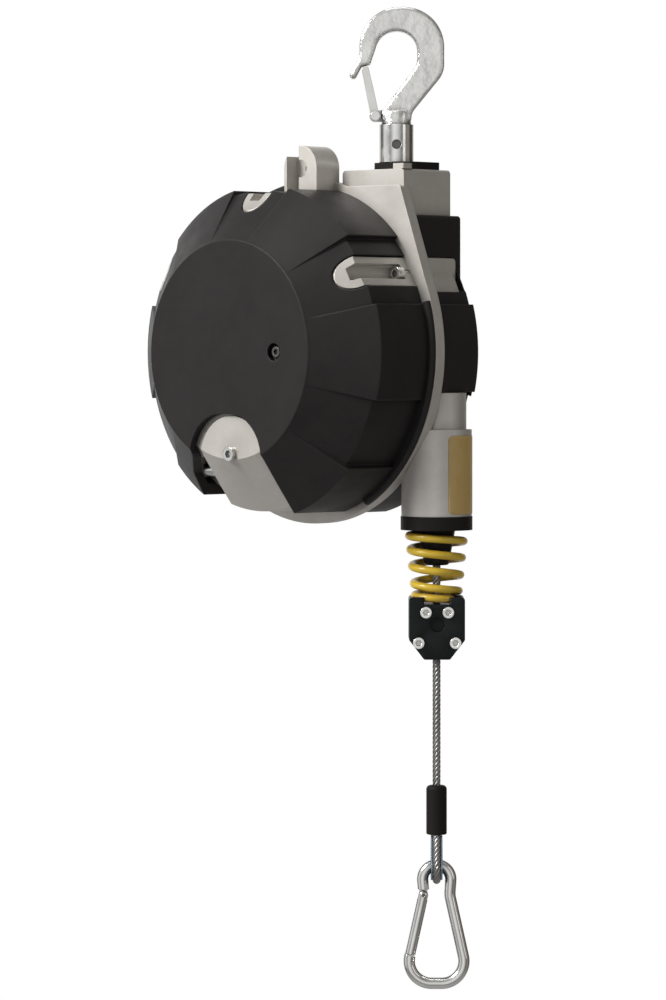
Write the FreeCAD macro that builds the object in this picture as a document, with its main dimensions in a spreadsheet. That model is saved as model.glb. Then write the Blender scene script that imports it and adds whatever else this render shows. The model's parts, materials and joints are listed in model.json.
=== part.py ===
import FreeCAD, Part
import math
import os
import Sketcher
from FreeCAD import Placement, Rotation, Vector
from types import SimpleNamespace

# A spring tool balancer: a rope drum wound by a flat power spring inside a
# two-part cast casing with moulded covers, hung from a swivel safety hook.
# The model's origin is the hook's saddle, where the hook bears on what
# carries it. The drum turns about Y, with the worm gear at -Y, and the rope
# leaves downwards on the +X side.

SIZES = {
    # suspension, measured up from the drum axis
    "hook_x": 60.0,
    "hook_y": 25.0,
    "block_top": 135.0,
    "block_width": 63.0,
    "block_depth": 50.0,
    "block_foot": 60.0,
    "washer_width": 42.0,
    "washer_depth": 33.0,
    "washer_shift_x": 6.0,
    "washer_shift_y": 5.0,
    "block_lip_width": 11.0,
    "block_lip_rise": 4.0,
    "washer_thickness": 6.0,
    "sleeve_length": 28.0,
    "sleeve_radius": 12.75,
    "sleeve_pin_radius": 3.5,
    "sleeve_pin_rise": 13.0,
    "stem_radius": 9.0,
    "nut_radius": 16.0,
    "nut_height": 12.0,
    "thrust_radius": 19.0,
    "thrust_height": 10.0,
    "nut_pocket_radius": 21.0,
    "block_roof": 18.0,
    # safety hook
    "hook_turn": 44.6,
    "hook_rise": 69.5,
    "hook_thickness": 14.5,
    "hook_edge_round": 2.2,
    "hook_back": 35.5,
    "hook_crown": 18.0,
    "hook_crown_radius": 30.0,
    "hook_shoulder_drop": 31.0,
    "hook_bowl_radius": 15.3,
    "hook_bowl_right": 15.5,
    "hook_bowl_left": 11.2,
    "hook_bowl_depth": 25.0,
    "hook_nose_side": 27.5,
    "hook_nose_bend": 19.0,
    "hook_nose_reach": 35.5,
    "hook_nose_drop": 36.5,
    "hook_nose_width": 8.0,
    "hook_neck_radius": 11.0,
    "hook_neck_length": 10.0,
    "hook_tang_radius": 8.0,
    "hook_tang_length": 24.0,
    "latch_drop": 63.0,
    "latch_reach": 15.8,
    "latch_lean": 12.0,
    "latch_length": 36.8,
    "latch_blade": 6.0,
    "latch_pin_radius": 2.2,
    "latch_width": 13.0,
    "latch_sheet": 1.8,
    "latch_boss_radius": 4.2,
    "latch_boss_width": 8.4,
    # cast casing
    "casing_radius": 115.0,
    "casing_face_radius": 80.0,
    "casing_wall": 5.0,
    "casing_side": 54.0,
    "casing_front": 85.0,
    "rear_side": 44.0,
    "casing_rear": 70.0,
    "flange_radius": 128.5,
    "flange_thickness": 4.5,
    "flange_screw_circle": 114.5,
    "flange_screw_radius": 3.0,
    "screw_head_radius": 5.3,
    "screw_head_height": 6.0,
    "screw_length": 16.0,
    "fit_gap": 0.3,
    "screw_seat": 12.0,
    "plate_angle": 17.0,
    "plate_drop": 12.0,
    "hub_radius": 20.0,
    "rear_hub_length": 20.0,
    "boss_rise": 2.5,
    "channel_inset": 8.0,
    # safety lug
    "lug_x": 8.0,
    "lug_height": 136.5,
    "lug_radius": 17.0,
    "lug_depth": 24.0,
    "lug_hole_radius": 6.5,
    # moulded covers
    "cover_radius": 119.5,
    "cover_gap": 0.5,
    "cover_wall": 4.0,
    "arch_spare": 5.5,
    "arch_flare": 18.0,
    "arch_flare_drop": 90.0,
    "boss_screw_drop": 75.0,
    "boss_screw_length": 8.0,
    "cover_screw_length": 8.0,
    "cover_side": 57.0,
    "cover_front": 90.0,
    "cover_disc_radius": 84.0,
    "cover_disc_rise": 1.5,
    "rib_rise": 4.0,
    "rib_angle": 33.0,
    "rib_count": 6.0,
    "rear_cover_side": 46.0,
    "rear_cover_back": 75.0,
    "shoulder_side": 98.0,
    "shoulder_top": 101.0,
    "shoulder_left": 18.0,
    "shoulder_back": 54.0,
    "shoulder_boss_side": 99.5,
    "shoulder_boss_back": 47.0,
    "window_angle": 30.0,
    "window_height": 26.0,
    "window_front": 72.0,
    "window_floor": 14.0,
    "window_gap": 1.0,
    "arch_radius": 34.5,
    "arch_height": 80.0,
    "worm_boss_gap": 1.5,
    "boss_front": 88.0,
    "boss_face_radius": 79.0,
    "boss_side": 56.0,
    "boss_radius": 118.0,
    "boss_foot": 125.0,
    "cover_screw_x": 48.0,
    "cover_screw_radius": 4.0,
    "cover_screw_pocket": 6.5,
    "cover_screw_sink": 5.0,
    # rope outlet
    "rope_x": 101.0,
    "rope_y": 25.0,
    "rope_radius": 3.0,
    "tube_radius": 26.0,
    "tube_bore_radius": 15.0,
    "tube_top": 57.0,
    "tube_bottom": 121.0,
    "neck_radius": 22.0,
    "neck_top": 30.0,
    "tube_bore_top": 52.0,
    "rope_hole_radius": 8.0,
    "rope_hole_top": 15.0,
    "ring_height": 10.0,
    "ring_radius": 26.5,
    "guide_bore_radius": 4.2,
    "guide_top_radius": 14.8,
    "guide_tip_radius": 9.0,
    "guide_length": 34.0,
    "guide_tip": 26.0,
    # bumper spring
    "bumper_top_radius": 20.5,
    "bumper_end_radius": 15.8,
    "bumper_wire_radius": 3.0,
    "bumper_height": 48.0,
    "bumper_turns": 4.5,
    "bumper_phase": 0.0,
    # rope stop clamp
    "clamp_height": 45.7,
    "clamp_width": 41.0,
    "clamp_depth": 34.0,
    "clamp_split": 0.6,
    "clamp_corner": 11.0,
    "clamp_screw_radius": 2.5,
    "clamp_head_radius": 4.2,
    "clamp_head_height": 3.5,
    "clamp_turn": 44.6,
    "clamp_recess_radius": 5.5,
    "clamp_recess_depth": 5.0,
    # lower rope and end fitting
    "lower_rope_length": 93.6,
    "sleeve_cover_length": 36.2,
    "sleeve_cover_radius": 7.6,
    "ferrule_radius": 5.6,
    "rope_start": 36.0,
    "ferrule_sink": 8.0,
    "eye_sink": 2.5,
    "eye_clearance": 2.5,
    "eye_drop": 23.8,
    "thimble_inner_radius": 5.5,
    "thimble_sheet": 1.5,
    "thimble_width": 8.6,
    # carabiner
    "carabiner_length": 96.0,
    "carabiner_wire_radius": 4.3,
    "carabiner_top_radius": 11.3,
    "carabiner_waist": 9.7,
    "carabiner_bottom_radius": 19.6,
    "gate_radius": 3.9,
    "gate_drop": 26.5,
    "gate_rise": 25.0,
    "gate_pin_radius": 1.2,
    "gate_tongue": 3.0,
    "gate_end_gap": 0.6,
    # rope drum
    "drum_radius": 98.0,
    "drum_pitch": 8.0,
    "drum_turns": 4.0,
    "drum_land": 1.6,
    "drum_flange": 4.0,
    "arbor_gap": 1.5,
    "drum_flange_rise": 5.0,
    "drum_web": 6.0,
    "drum_hub_radius": 24.0,
    "spring_case_radius": 74.0,
    "spring_case_wall": 4.0,
    "spring_case_front": 46.0,
    "spring_lid_thickness": 4.0,
    "arbor_radius": 20.0,
    "shaft_radius": 10.0,
    "running_gap": 0.05,
    "bearing_radius": 19.0,
    "bearing_width": 10.0,
    "strip_thickness": 1.6,
    "strip_pitch": 5.2,
    # worm adjuster
    "wheel_teeth": 60.0,
    "worm_y": -58.0,
    "worm_pitch_radius": 12.0,
    "gear_module": 2.5,
    "wheel_width": 10.0,
    "worm_root_radius": 9.0,
    "worm_tip_radius": 14.2,
    "worm_length": 48.0,
    "worm_journal_radius": 6.0,
    "worm_bush_radius": 8.5,
    "worm_end_x": 54.0,
    "worm_reach": 31.0,
    "worm_head_radius": 6.8,
    "worm_head_length": 13.0,
    "recess_left": 66.0,
    "recess_top": 78.0,
    "recess_back": 46.0,
    "worm_block_radius": 80.0,
    "worm_block_angle": 64.0,
    "worm_block_middle": 261.0,
    "worm_block_wall": 3.0,
}

doc = FreeCAD.newDocument("ToolBalancer")
sheet = doc.addObject("Spreadsheet::Sheet", "Sizes")
for row, (alias, amount) in enumerate(SIZES.items(), start=1):
    sheet.set(f"A{row}", alias)
    sheet.set(f"B{row}", str(amount))
    sheet.setAlias(f"B{row}", alias)
doc.recompute()


class Size(float):
    """A length or angle that carries the spreadsheet expression it comes from."""

    def __new__(cls, amount, text=None):
        made = super().__new__(cls, amount)
        made.text = text or repr(float(amount))
        return made

    def joined(self, other, sign, amount):
        other = as_size(other)
        return Size(amount, f"({self.text} {sign} {other.text})")

    def __add__(self, other):
        return self.joined(other, "+", float(self) + float(other))

    def __sub__(self, other):
        return self.joined(other, "-", float(self) - float(other))

    def __mul__(self, other):
        return self.joined(other, "*", float(self) * float(other))

    def __truediv__(self, other):
        return self.joined(other, "/", float(self) / float(other))

    def __radd__(self, other):
        return as_size(other) + self

    def __rsub__(self, other):
        return as_size(other) - self

    def __rmul__(self, other):
        return as_size(other) * self

    def __neg__(self):
        return Size(-float(self), f"(0 - {self.text})")


def as_size(amount):
    return amount if isinstance(amount, Size) else Size(amount)


def cosine(angle):
    angle = as_size(angle)
    return Size(math.cos(math.radians(angle)), f"cos({angle.text} * 1 deg)")


def sine(angle):
    angle = as_size(angle)
    return Size(math.sin(math.radians(angle)), f"sin({angle.text} * 1 deg)")


size = SimpleNamespace(**{alias: Size(sheet.get(alias), f"Sizes.{alias}") for alias in SIZES})


def bind(item, name, amount):
    """Sets a property and keeps it tied to the sheet."""
    amount = as_size(amount)
    if amount.text != repr(float(amount)):
        item.setExpression(name, amount.text)
    elif "." not in name:
        setattr(item, name, float(amount))
    else:
        item.setExpression(name, amount.text)


# ---------------------------------------------------------------- sketching


def new_body(label):
    body = doc.addObject("PartDesign::Body", label)
    body.Label = label
    return body


def origin_item(body, role):
    return next(item for item in body.Origin.OriginFeatures if item.Role == role)


def new_sketch(body, plane, offset=0.0):
    """A sketch on one of the body's origin planes, moved along its normal."""
    sketch = body.newObject("Sketcher::SketchObject", "Sketch")
    sketch.AttachmentSupport = (origin_item(body, plane), [""])
    sketch.MapMode = "FlatFace"
    if float(offset) != 0.0:
        bind(sketch, "AttachmentOffset.Base.z", offset)
    return sketch


def fix_point(sketch, item, end, x, y):
    """Ties one point of a sketch to its two distances from the origin."""
    for kind, amount in (("DistanceX", x), ("DistanceY", y)):
        amount = as_size(amount)
        made = sketch.addConstraint(Sketcher.Constraint(kind, -1, 1, item, end, float(amount)))
        if amount.text != repr(float(amount)):
            sketch.setExpression(f"Constraints[{made}]", amount.text)


def fix_radius(sketch, item, radius):
    radius = as_size(radius)
    made = sketch.addConstraint(Sketcher.Constraint("Radius", item, float(radius)))
    if radius.text != repr(float(radius)):
        sketch.setExpression(f"Constraints[{made}]", radius.text)


def add_circle(sketch, x, y, radius):
    middle = Vector(float(x), float(y), 0)
    item = sketch.addGeometry(Part.Circle(middle, Vector(0, 0, 1), float(radius)), False)
    fix_point(sketch, item, 3, x, y)
    fix_radius(sketch, item, radius)
    return item


def add_outline(sketch, corners, closed=True):
    """An outline through corners (x, y) or (x, y, rounding radius)."""
    count = len(corners)
    points = [Vector(float(corner[0]), float(corner[1]), 0) for corner in corners]
    rounds = []
    for i, corner in enumerate(corners):
        back = (points[i - 1] - points[i]).normalize()
        ahead = (points[(i + 1) % count] - points[i]).normalize()
        radius = as_size(corner[2]) if len(corner) > 2 else Size(0)
        half = back.getAngle(ahead) / 2
        reach = float(radius) / math.tan(half) if float(radius) else 0.0
        rounds.append((back * reach, ahead * reach, radius, half, back, ahead))
    lines = []
    for i in range(count if closed else count - 1):
        follower = (i + 1) % count
        start = points[i] + rounds[i][1]
        stop = points[follower] + rounds[follower][0]
        lines.append(sketch.addGeometry(Part.LineSegment(start, stop), False))
    if not closed:
        fix_point(sketch, lines[0], 1, corners[0][0], corners[0][1])
        fix_point(sketch, lines[-1], 2, corners[-1][0], corners[-1][1])
    for i in range(count) if closed else range(1, count - 1):
        before, after = lines[i - 1], lines[i]
        back_reach, ahead_reach, radius, half, back, ahead = rounds[i]
        if not float(radius):
            sketch.addConstraint(Sketcher.Constraint("Coincident", before, 2, after, 1))
            fix_point(sketch, after, 1, corners[i][0], corners[i][1])
            continue
        middle = points[i] + (back + ahead).normalize() * (float(radius) / math.sin(half))
        first = points[i] + back_reach - middle
        last = points[i] + ahead_reach - middle
        turns_left = first.cross(last).z > 0
        start, stop = (first, last) if turns_left else (last, first)
        circle = Part.Circle(middle, Vector(0, 0, 1), float(radius))
        arc = Part.ArcOfCircle(circle, math.atan2(start.y, start.x), math.atan2(stop.y, stop.x))
        item = sketch.addGeometry(arc, False)
        corner_point = sketch.addGeometry(Part.Point(points[i]), True)
        ends = (1, 2) if turns_left else (2, 1)
        sketch.addConstraint(Sketcher.Constraint("Tangent", before, 2, item, ends[0]))
        sketch.addConstraint(Sketcher.Constraint("Tangent", after, 1, item, ends[1]))
        sketch.addConstraint(Sketcher.Constraint("PointOnObject", corner_point, 1, before))
        sketch.addConstraint(Sketcher.Constraint("PointOnObject", corner_point, 1, after))
        fix_point(sketch, corner_point, 1, corners[i][0], corners[i][1])
        fix_radius(sketch, item, radius)


def extrude(body, kind, sketch, length, reverse=False, midplane=False):
    """Pads or pockets a sketch of the body."""
    feature = body.newObject(f"PartDesign::{kind}", kind)
    feature.Profile = sketch
    bind(feature, "Length", length)
    feature.Reversed = reverse
    if midplane:
        feature.SideType = "Symmetric"
    return feature


def turn(body, kind, sketch, angle=360.0, midplane=False, axis="V_Axis"):
    """Revolves or grooves a sketch about one of its axes."""
    feature = body.newObject(f"PartDesign::{kind}", kind)
    feature.Profile = sketch
    feature.ReferenceAxis = (sketch, [axis])
    bind(feature, "Angle", angle)
    feature.Midplane = midplane
    return feature


def around(body, feature, count, axis="Y_Axis"):
    """Repeats a feature evenly about one of the body's axes."""
    pattern = body.newObject("PartDesign::PolarPattern", "PolarPattern")
    pattern.Originals = [feature]
    pattern.Axis = (origin_item(body, axis), [""])
    pattern.Angle = 360
    pattern.Occurrences = int(count)
    body.Tip = pattern
    return pattern


def round_edges(body, feature, radius, wanted):
    """Rounds those edges of a feature that a test picks out."""
    names = [f"Edge{i}" for i, edge in enumerate(feature.Shape.Edges, start=1) if wanted(edge)]
    made = body.newObject("PartDesign::Fillet", "Fillet")
    made.Base = (feature, names)
    bind(made, "Radius", radius)
    body.Tip = made
    return made


# ------------------------------------------------------- places of the groups

DRUM_PLACE = (-size.hook_x, -size.hook_y, -(size.block_top + size.washer_thickness
                                           + size.sleeve_length + size.hook_rise))
WORM_DROP = size.wheel_teeth * size.gear_module / 2 + size.worm_pitch_radius
BEARING_TOP = size.block_top - size.block_roof
FINISHED = []


def finish(item, label, place=(0, 0, 0), turned=0.0):
    """Names a sub-part and sets it in its place, turned about the vertical."""
    item.Label = label
    if float(turned):
        item.Placement = Placement(Vector(*[float(amount) for amount in place]),
                                   Rotation(Vector(0, 0, 1), float(turned)))
        if not item.isDerivedFrom("Part::Feature") or item.TypeId != "Part::Feature":
            bind(item, "Placement.Rotation.Angle", turned)
    for letter, amount in zip("xyz", place):
        bind(item, f"Placement.Base.{letter}", amount)
    FINISHED.append(item)
    return item


# ------------------------------------------------- part primitives and groups


def rod(radius, length, at=(0, 0, 0), along="z"):
    """A Part cylinder starting at a point and running along one axis."""
    item = doc.addObject("Part::Cylinder", "Cylinder")
    bind(item, "Radius", radius)
    bind(item, "Height", length)
    turned = {"z": Rotation(), "x": Rotation(Vector(0, 1, 0), 90), "y": Rotation(Vector(1, 0, 0), -90)}
    item.Placement = Placement(Vector(), turned[along])
    for letter, amount in zip("xyz", at):
        bind(item, f"Placement.Base.{letter}", amount)
    return item


def cut(base, *tools):
    item = doc.addObject("Part::Cut", "Cut")
    item.Base = base
    item.Tool = tools[0] if len(tools) == 1 else fuse(*tools)
    return item


def fuse(*items):
    item = doc.addObject("Part::MultiFuse", "Fusion")
    item.Shapes = list(items)
    return item


def shape_node(label, shape):
    """A sub-part whose shape is worked out with Part's own functions."""
    item = doc.addObject("Part::Feature", label)
    settled = shape.copy()
    settled.Placement = Placement()
    settled.transformShape(shape.Placement.toMatrix(), True)
    item.Shape = settled
    return item


def polar(radius, angle):
    """A point (x, z) on a circle about the drum axis."""
    return radius * cosine(angle), radius * sine(angle)


def window_sketch(body, angle, radius, width, front, back):
    """A slot drawn square to the radius at an angle, with its far end round."""
    sketch = body.newObject("Sketcher::SketchObject", "Sketch")
    sketch.AttachmentSupport = (origin_item(body, "XY_Plane"), [""])
    sketch.MapMode = "FlatFace"
    sketch.AttachmentOffset = Placement(Vector(), Rotation(Vector(0, 1, 0), 90 - float(angle)))
    bind(sketch, "AttachmentOffset.Base.x", radius * cosine(angle))
    bind(sketch, "AttachmentOffset.Base.z", radius * sine(angle))
    half = width / 2
    round_end = half * 0.98
    add_outline(sketch, [(half, back), (-half, back), (-half, front, round_end), (half, front, round_end)])
    return sketch


WINDOW_FROM = size.window_angle + 120.0
SCREW_ANGLES = [size.window_angle, size.window_angle + 60, WINDOW_FROM]


def repeat_windows(body, feature):
    """Repeats a window or boss at the three cast screw bosses."""
    pattern = around(body, feature, 3)
    pattern.Angle = 120
    return pattern


# --------------------------------------------------------------- cast casing


def corner_plate(body, thickness, reverse):
    """The flange's corner, from its round edge up beside the hook block."""
    sketch = new_sketch(body, "XZ_Plane")
    right = size.hook_x + size.block_width / 2
    left = size.hook_x - size.block_width / 2
    start = polar(size.flange_radius, size.plate_angle)
    top = size.block_top - size.plate_drop
    add_outline(sketch, [(left, size.casing_radius / 2), (start[0] * 0.8, start[1] * 0.8), start,
                         (right, top, 4), (left, top)])
    return extrude(body, "Pad", sketch, thickness, reverse)


def build_front_casing():
    body = new_body("front_casing")
    wall, face = size.casing_wall, size.casing_face_radius
    profile = new_sketch(body, "XY_Plane")
    add_outline(profile, [(0, -size.casing_front), (face, -size.casing_front),
                          (size.casing_radius, -size.casing_side),
                          (size.casing_radius, -size.flange_thickness),
                          (size.flange_radius, -size.flange_thickness),
                          (size.flange_radius, 0), (0, 0)])
    turn(body, "Revolution", profile)
    doc.recompute()

    # worm housing below the axis, following the cover's slope
    boss = new_sketch(body, "XZ_Plane", size.flange_thickness)
    half = size.arch_radius - size.worm_boss_gap
    foot = -size.boss_foot
    crown = -(size.arch_height - half)
    add_outline(boss, [(half, foot), (half, crown, half * 0.98), (-half, crown, half * 0.98), (-half, foot)])
    extrude(body, "Pad", boss, size.boss_front - size.flange_thickness)
    doc.recompute()
    trim = new_sketch(body, "XY_Plane")
    far = size.flange_radius * 1.2
    add_outline(trim, [(size.boss_face_radius, -size.boss_front), (size.boss_radius, -size.boss_side),
                       (size.boss_radius, -size.flange_thickness), (far, -size.flange_thickness),
                       (far, -size.boss_front * 1.1), (size.boss_face_radius, -size.boss_front * 1.1)])
    turn(body, "Groove", trim)
    doc.recompute()

    corner_plate(body, size.flange_thickness, False)
    lug = new_sketch(body, "XZ_Plane")
    reach = size.lug_radius
    add_outline(lug, [(size.lug_x - reach, size.casing_radius * 0.9), (size.lug_x + reach, size.casing_radius * 0.9),
                      (size.lug_x + reach, size.lug_height + reach, reach * 0.98),
                      (size.lug_x - reach, size.lug_height + reach, reach * 0.98)])
    extrude(body, "Pad", lug, size.lug_depth)
    doc.recompute()

    hollow = new_sketch(body, "XY_Plane")
    inner = size.casing_radius - wall
    add_outline(hollow, [(size.hub_radius, 0), (inner, 0), (inner, wall * 0.4 - size.casing_side),
                         (face - wall * 0.4, wall - size.casing_front),
                         (size.hub_radius, wall - size.casing_front)])
    turn(body, "Groove", hollow)
    bore = new_sketch(body, "XY_Plane")
    add_outline(bore, [(0, 0), (size.hub_radius, 0), (size.hub_radius, size.worm_y - size.wheel_width / 2 - 1),
                       (size.shaft_radius + size.running_gap, size.worm_y - size.wheel_width / 2 - 1),
                       (size.shaft_radius + size.running_gap, 2 - size.casing_front),
                       (0, 2 - size.casing_front)])
    turn(body, "Groove", bore)
    doc.recompute()

    # screw bosses that show in the cover's windows, each with its channel
    depth = size.casing_radius - size.window_floor
    pad = window_sketch(body, WINDOW_FROM, depth, size.window_height - 2 * size.window_gap,
                        -(size.window_front - size.window_gap), -size.flange_thickness)
    rise = size.window_floor + size.boss_rise
    boss_pad = extrude(body, "Pad", pad, rise)
    doc.recompute()
    repeat_windows(body, boss_pad)
    doc.recompute()
    slope = new_sketch(body, "XY_Plane")
    add_outline(slope, [(size.cover_disc_radius, -size.cover_front), (size.cover_radius, -size.cover_side),
                        (far, -size.cover_side), (far, -size.cover_front * 1.1),
                        (size.cover_disc_radius, -size.cover_front * 1.1)])
    turn(body, "Groove", slope)
    doc.recompute()
    channel = window_sketch(body, WINDOW_FROM, size.flange_screw_circle, 2 * size.screw_head_radius + 2,
                            -(size.window_front - size.channel_inset), -size.screw_seat)
    channel_cut = extrude(body, "Pocket", channel, size.casing_radius, True)
    doc.recompute()
    repeat_windows(body, channel_cut)
    doc.recompute()

    # block that carries the worm, with a recess where its driving end comes out
    block = new_sketch(body, "XY_Plane")
    block.AttachmentOffset = Placement(Vector(), Rotation(Vector(0, 1, 0), -float(size.worm_block_middle)))
    block_back = size.worm_y + size.worm_tip_radius + 1 + size.worm_block_wall
    add_outline(block, [(size.worm_block_radius, block_back), (size.casing_radius - 1, block_back),
                        (size.casing_radius - 1, -size.casing_side),
                        (size.worm_block_radius, 1 - size.casing_front)])
    turn(body, "Revolution", block, size.worm_block_angle, midplane=True)
    doc.recompute()
    recess = new_sketch(body, "XZ_Plane", size.recess_back)
    add_outline(recess, [(-half, -size.recess_top, 2), (-size.recess_left, -size.recess_top, 4),
                         (-size.recess_left, foot), (-half, foot)])
    extrude(body, "Pocket", recess, size.boss_front, True)
    doc.recompute()

    # worm chamber, journal bore and lug hole
    chamber = new_sketch(body, "YZ_Plane")
    add_circle(chamber, size.worm_y, -WORM_DROP, size.worm_tip_radius + 1)
    extrude(body, "Pocket", chamber, size.worm_length + 2, midplane=True)
    journal = new_sketch(body, "YZ_Plane")
    add_circle(journal, size.worm_y, -WORM_DROP, size.worm_bush_radius)
    extrude(body, "Pocket", journal, size.worm_end_x, True)
    journal_left = new_sketch(body, "YZ_Plane")
    add_circle(journal_left, size.worm_y, -WORM_DROP, size.worm_bush_radius)
    extrude(body, "Pocket", journal_left, size.worm_end_x)
    lug_hole = new_sketch(body, "XZ_Plane")
    add_circle(lug_hole, size.lug_x, size.lug_height, size.lug_hole_radius)
    extrude(body, "Pocket", lug_hole, size.lug_depth * 1.2, True)
    holes = new_sketch(body, "XZ_Plane")
    for angle in SCREW_ANGLES:
        x, z = polar(size.flange_screw_circle, angle)
        add_circle(holes, x, z, size.flange_screw_radius + size.fit_gap)
    extrude(body, "Pocket", holes, size.screw_seat * 1.2, True)
    seats = new_sketch(body, "XZ_Plane", size.screw_seat)
    for angle in SCREW_ANGLES:
        x, z = polar(size.flange_screw_circle, angle)
        add_circle(seats, x, z, size.screw_head_radius + size.fit_gap)
    extrude(body, "Pocket", seats, size.window_front - size.channel_inset - size.screw_seat, True)
    doc.recompute()
    cover_hole = new_sketch(body, "XZ_Plane", size.casing_front)
    add_circle(cover_hole, size.cover_screw_x, 0, size.flange_screw_radius + size.fit_gap)
    extrude(body, "Pocket", cover_hole, wall * 1.5)
    boss_hole = new_sketch(body, "XZ_Plane", size.boss_front)
    add_circle(boss_hole, 0, -size.boss_screw_drop, size.flange_screw_radius + size.fit_gap)
    extrude(body, "Pocket", boss_hole, size.boss_screw_length + size.fit_gap)
    tube_cut = new_sketch(body, "XY_Plane", -size.tube_bottom)
    add_circle(tube_cut, size.rope_x, size.rope_y, size.tube_radius + size.fit_gap)
    extrude(body, "Pocket", tube_cut, size.tube_bottom - size.tube_top + size.fit_gap, True)
    doc.recompute()
    return finish(body, "front_casing", DRUM_PLACE)


def build_rear_casing():
    body = new_body("rear_casing")
    wall, face = size.casing_wall, size.casing_face_radius
    profile = new_sketch(body, "XY_Plane")
    add_outline(profile, [(0, 0), (size.flange_radius, 0), (size.flange_radius, size.flange_thickness),
                          (size.casing_radius, size.flange_thickness), (size.casing_radius, size.rear_side),
                          (face, size.casing_rear), (0, size.casing_rear)])
    turn(body, "Revolution", profile)
    doc.recompute()
    corner_plate(body, size.flange_thickness, True)

    hook_block = new_sketch(body, "XZ_Plane")
    right = size.hook_x + size.block_width / 2
    left = size.hook_x - size.block_width / 2
    add_outline(hook_block, [(left, size.block_foot), (right, size.block_foot), (right, size.block_top, 3),
                             (left, size.block_top, 3)])
    extrude(body, "Pad", hook_block, size.block_depth, True)
    doc.recompute()
    lip = new_sketch(body, "XY_Plane", size.block_top)
    edge = right - size.block_lip_width
    add_outline(lip, [(edge, 0), (right - 0.5, 0), (right - 0.5, size.block_lip_width, 3), (edge, size.block_lip_width, 3)])
    extrude(body, "Pad", lip, size.block_lip_rise)
    doc.recompute()

    # flat boss that shows in the window of the rear cover's shoulder
    boss = new_sketch(body, "YZ_Plane", size.casing_radius * 0.7)
    middle = size.flange_screw_circle * sine(size.window_angle)
    half = size.window_height / 2 - size.window_gap
    rim, back = size.flange_thickness, size.shoulder_boss_back
    add_outline(boss, [(rim, middle - half), (back, middle - half, 3), (back, middle + half, 3),
                       (rim, middle + half)])
    extrude(body, "Pad", boss, size.shoulder_boss_side - size.casing_radius * 0.7)
    doc.recompute()

    # rope outlet: a round tube with a narrower neck where it joins the casing
    tube = new_sketch(body, "XY_Plane", -size.tube_bottom)
    add_circle(tube, size.rope_x, size.rope_y, size.tube_radius)
    extrude(body, "Pad", tube, size.tube_bottom - size.tube_top)
    doc.recompute()
    neck = new_sketch(body, "XY_Plane", -size.tube_top)
    add_circle(neck, size.rope_x, size.rope_y, size.neck_radius)
    extrude(body, "Pad", neck, size.tube_top - size.neck_top)
    doc.recompute()

    hollow = new_sketch(body, "XY_Plane")
    inner = size.casing_radius - wall
    add_outline(hollow, [(size.hub_radius, 0), (inner, 0), (inner, size.rear_side - wall * 0.4),
                         (face - wall * 0.4, size.casing_rear - wall), (size.hub_radius, size.casing_rear - wall)])
    turn(body, "Groove", hollow)
    bore = new_sketch(body, "XY_Plane")
    hub_front = size.casing_rear - size.rear_hub_length
    bore_radius = size.shaft_radius + size.running_gap
    add_outline(bore, [(0, 0), (size.hub_radius, 0), (size.hub_radius, hub_front), (bore_radius, hub_front),
                       (bore_radius, size.casing_rear - 3), (0, size.casing_rear - 3)])
    turn(body, "Groove", bore)
    doc.recompute()

    guide_bore = new_sketch(body, "XY_Plane", -size.tube_bottom)
    add_circle(guide_bore, size.rope_x, size.rope_y, size.tube_bore_radius)
    extrude(body, "Pocket", guide_bore, size.tube_bottom - size.tube_bore_top, True)
    doc.recompute()
    rope_bore = new_sketch(body, "XY_Plane", -size.tube_bottom)
    add_circle(rope_bore, size.rope_x, size.rope_y, size.rope_hole_radius)
    extrude(body, "Pocket", rope_bore, size.tube_bottom - size.rope_hole_top, True)
    doc.recompute()

    # swivel: a stem hole from the top and a pocket for bearing and nut below
    stem_hole = new_sketch(body, "XY_Plane", size.block_top)
    add_circle(stem_hole, size.hook_x, size.hook_y, size.stem_radius + size.running_gap)
    extrude(body, "Pocket", stem_hole, size.block_top - size.block_foot)
    pocket = new_sketch(body, "XY_Plane", size.block_foot)
    add_circle(pocket, size.hook_x, size.hook_y, size.nut_pocket_radius)
    extrude(body, "Pocket", pocket, BEARING_TOP - size.block_foot, True)
    holes = new_sketch(body, "XZ_Plane")
    for angle in SCREW_ANGLES:
        x, z = polar(size.flange_screw_circle, angle)
        add_circle(holes, x, z, size.flange_screw_radius + size.fit_gap)
    extrude(body, "Pocket", holes, size.flange_thickness * 1.2)
    doc.recompute()
    return finish(body, "rear_casing", DRUM_PLACE)


# ------------------------------------------------------------- moulded covers


def add_ribs(body, side, front):
    """Six raised sectors on a cover, from its disc to its rim."""
    sketch = new_sketch(body, "XY_Plane")
    sign = 1 if float(front) > 0 else -1
    rim = size.flange_thickness * sign
    tall = size.cover_radius + size.rib_rise
    low = size.cover_radius - size.cover_wall
    add_outline(sketch, [(size.cover_disc_radius, front), (tall, side), (tall, rim), (low, rim),
                         (size.cover_disc_radius - size.cover_wall, side)])
    rib = turn(body, "Revolution", sketch, size.rib_angle, midplane=True)
    doc.recompute()
    around(body, rib, size.rib_count)
    doc.recompute()


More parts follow.
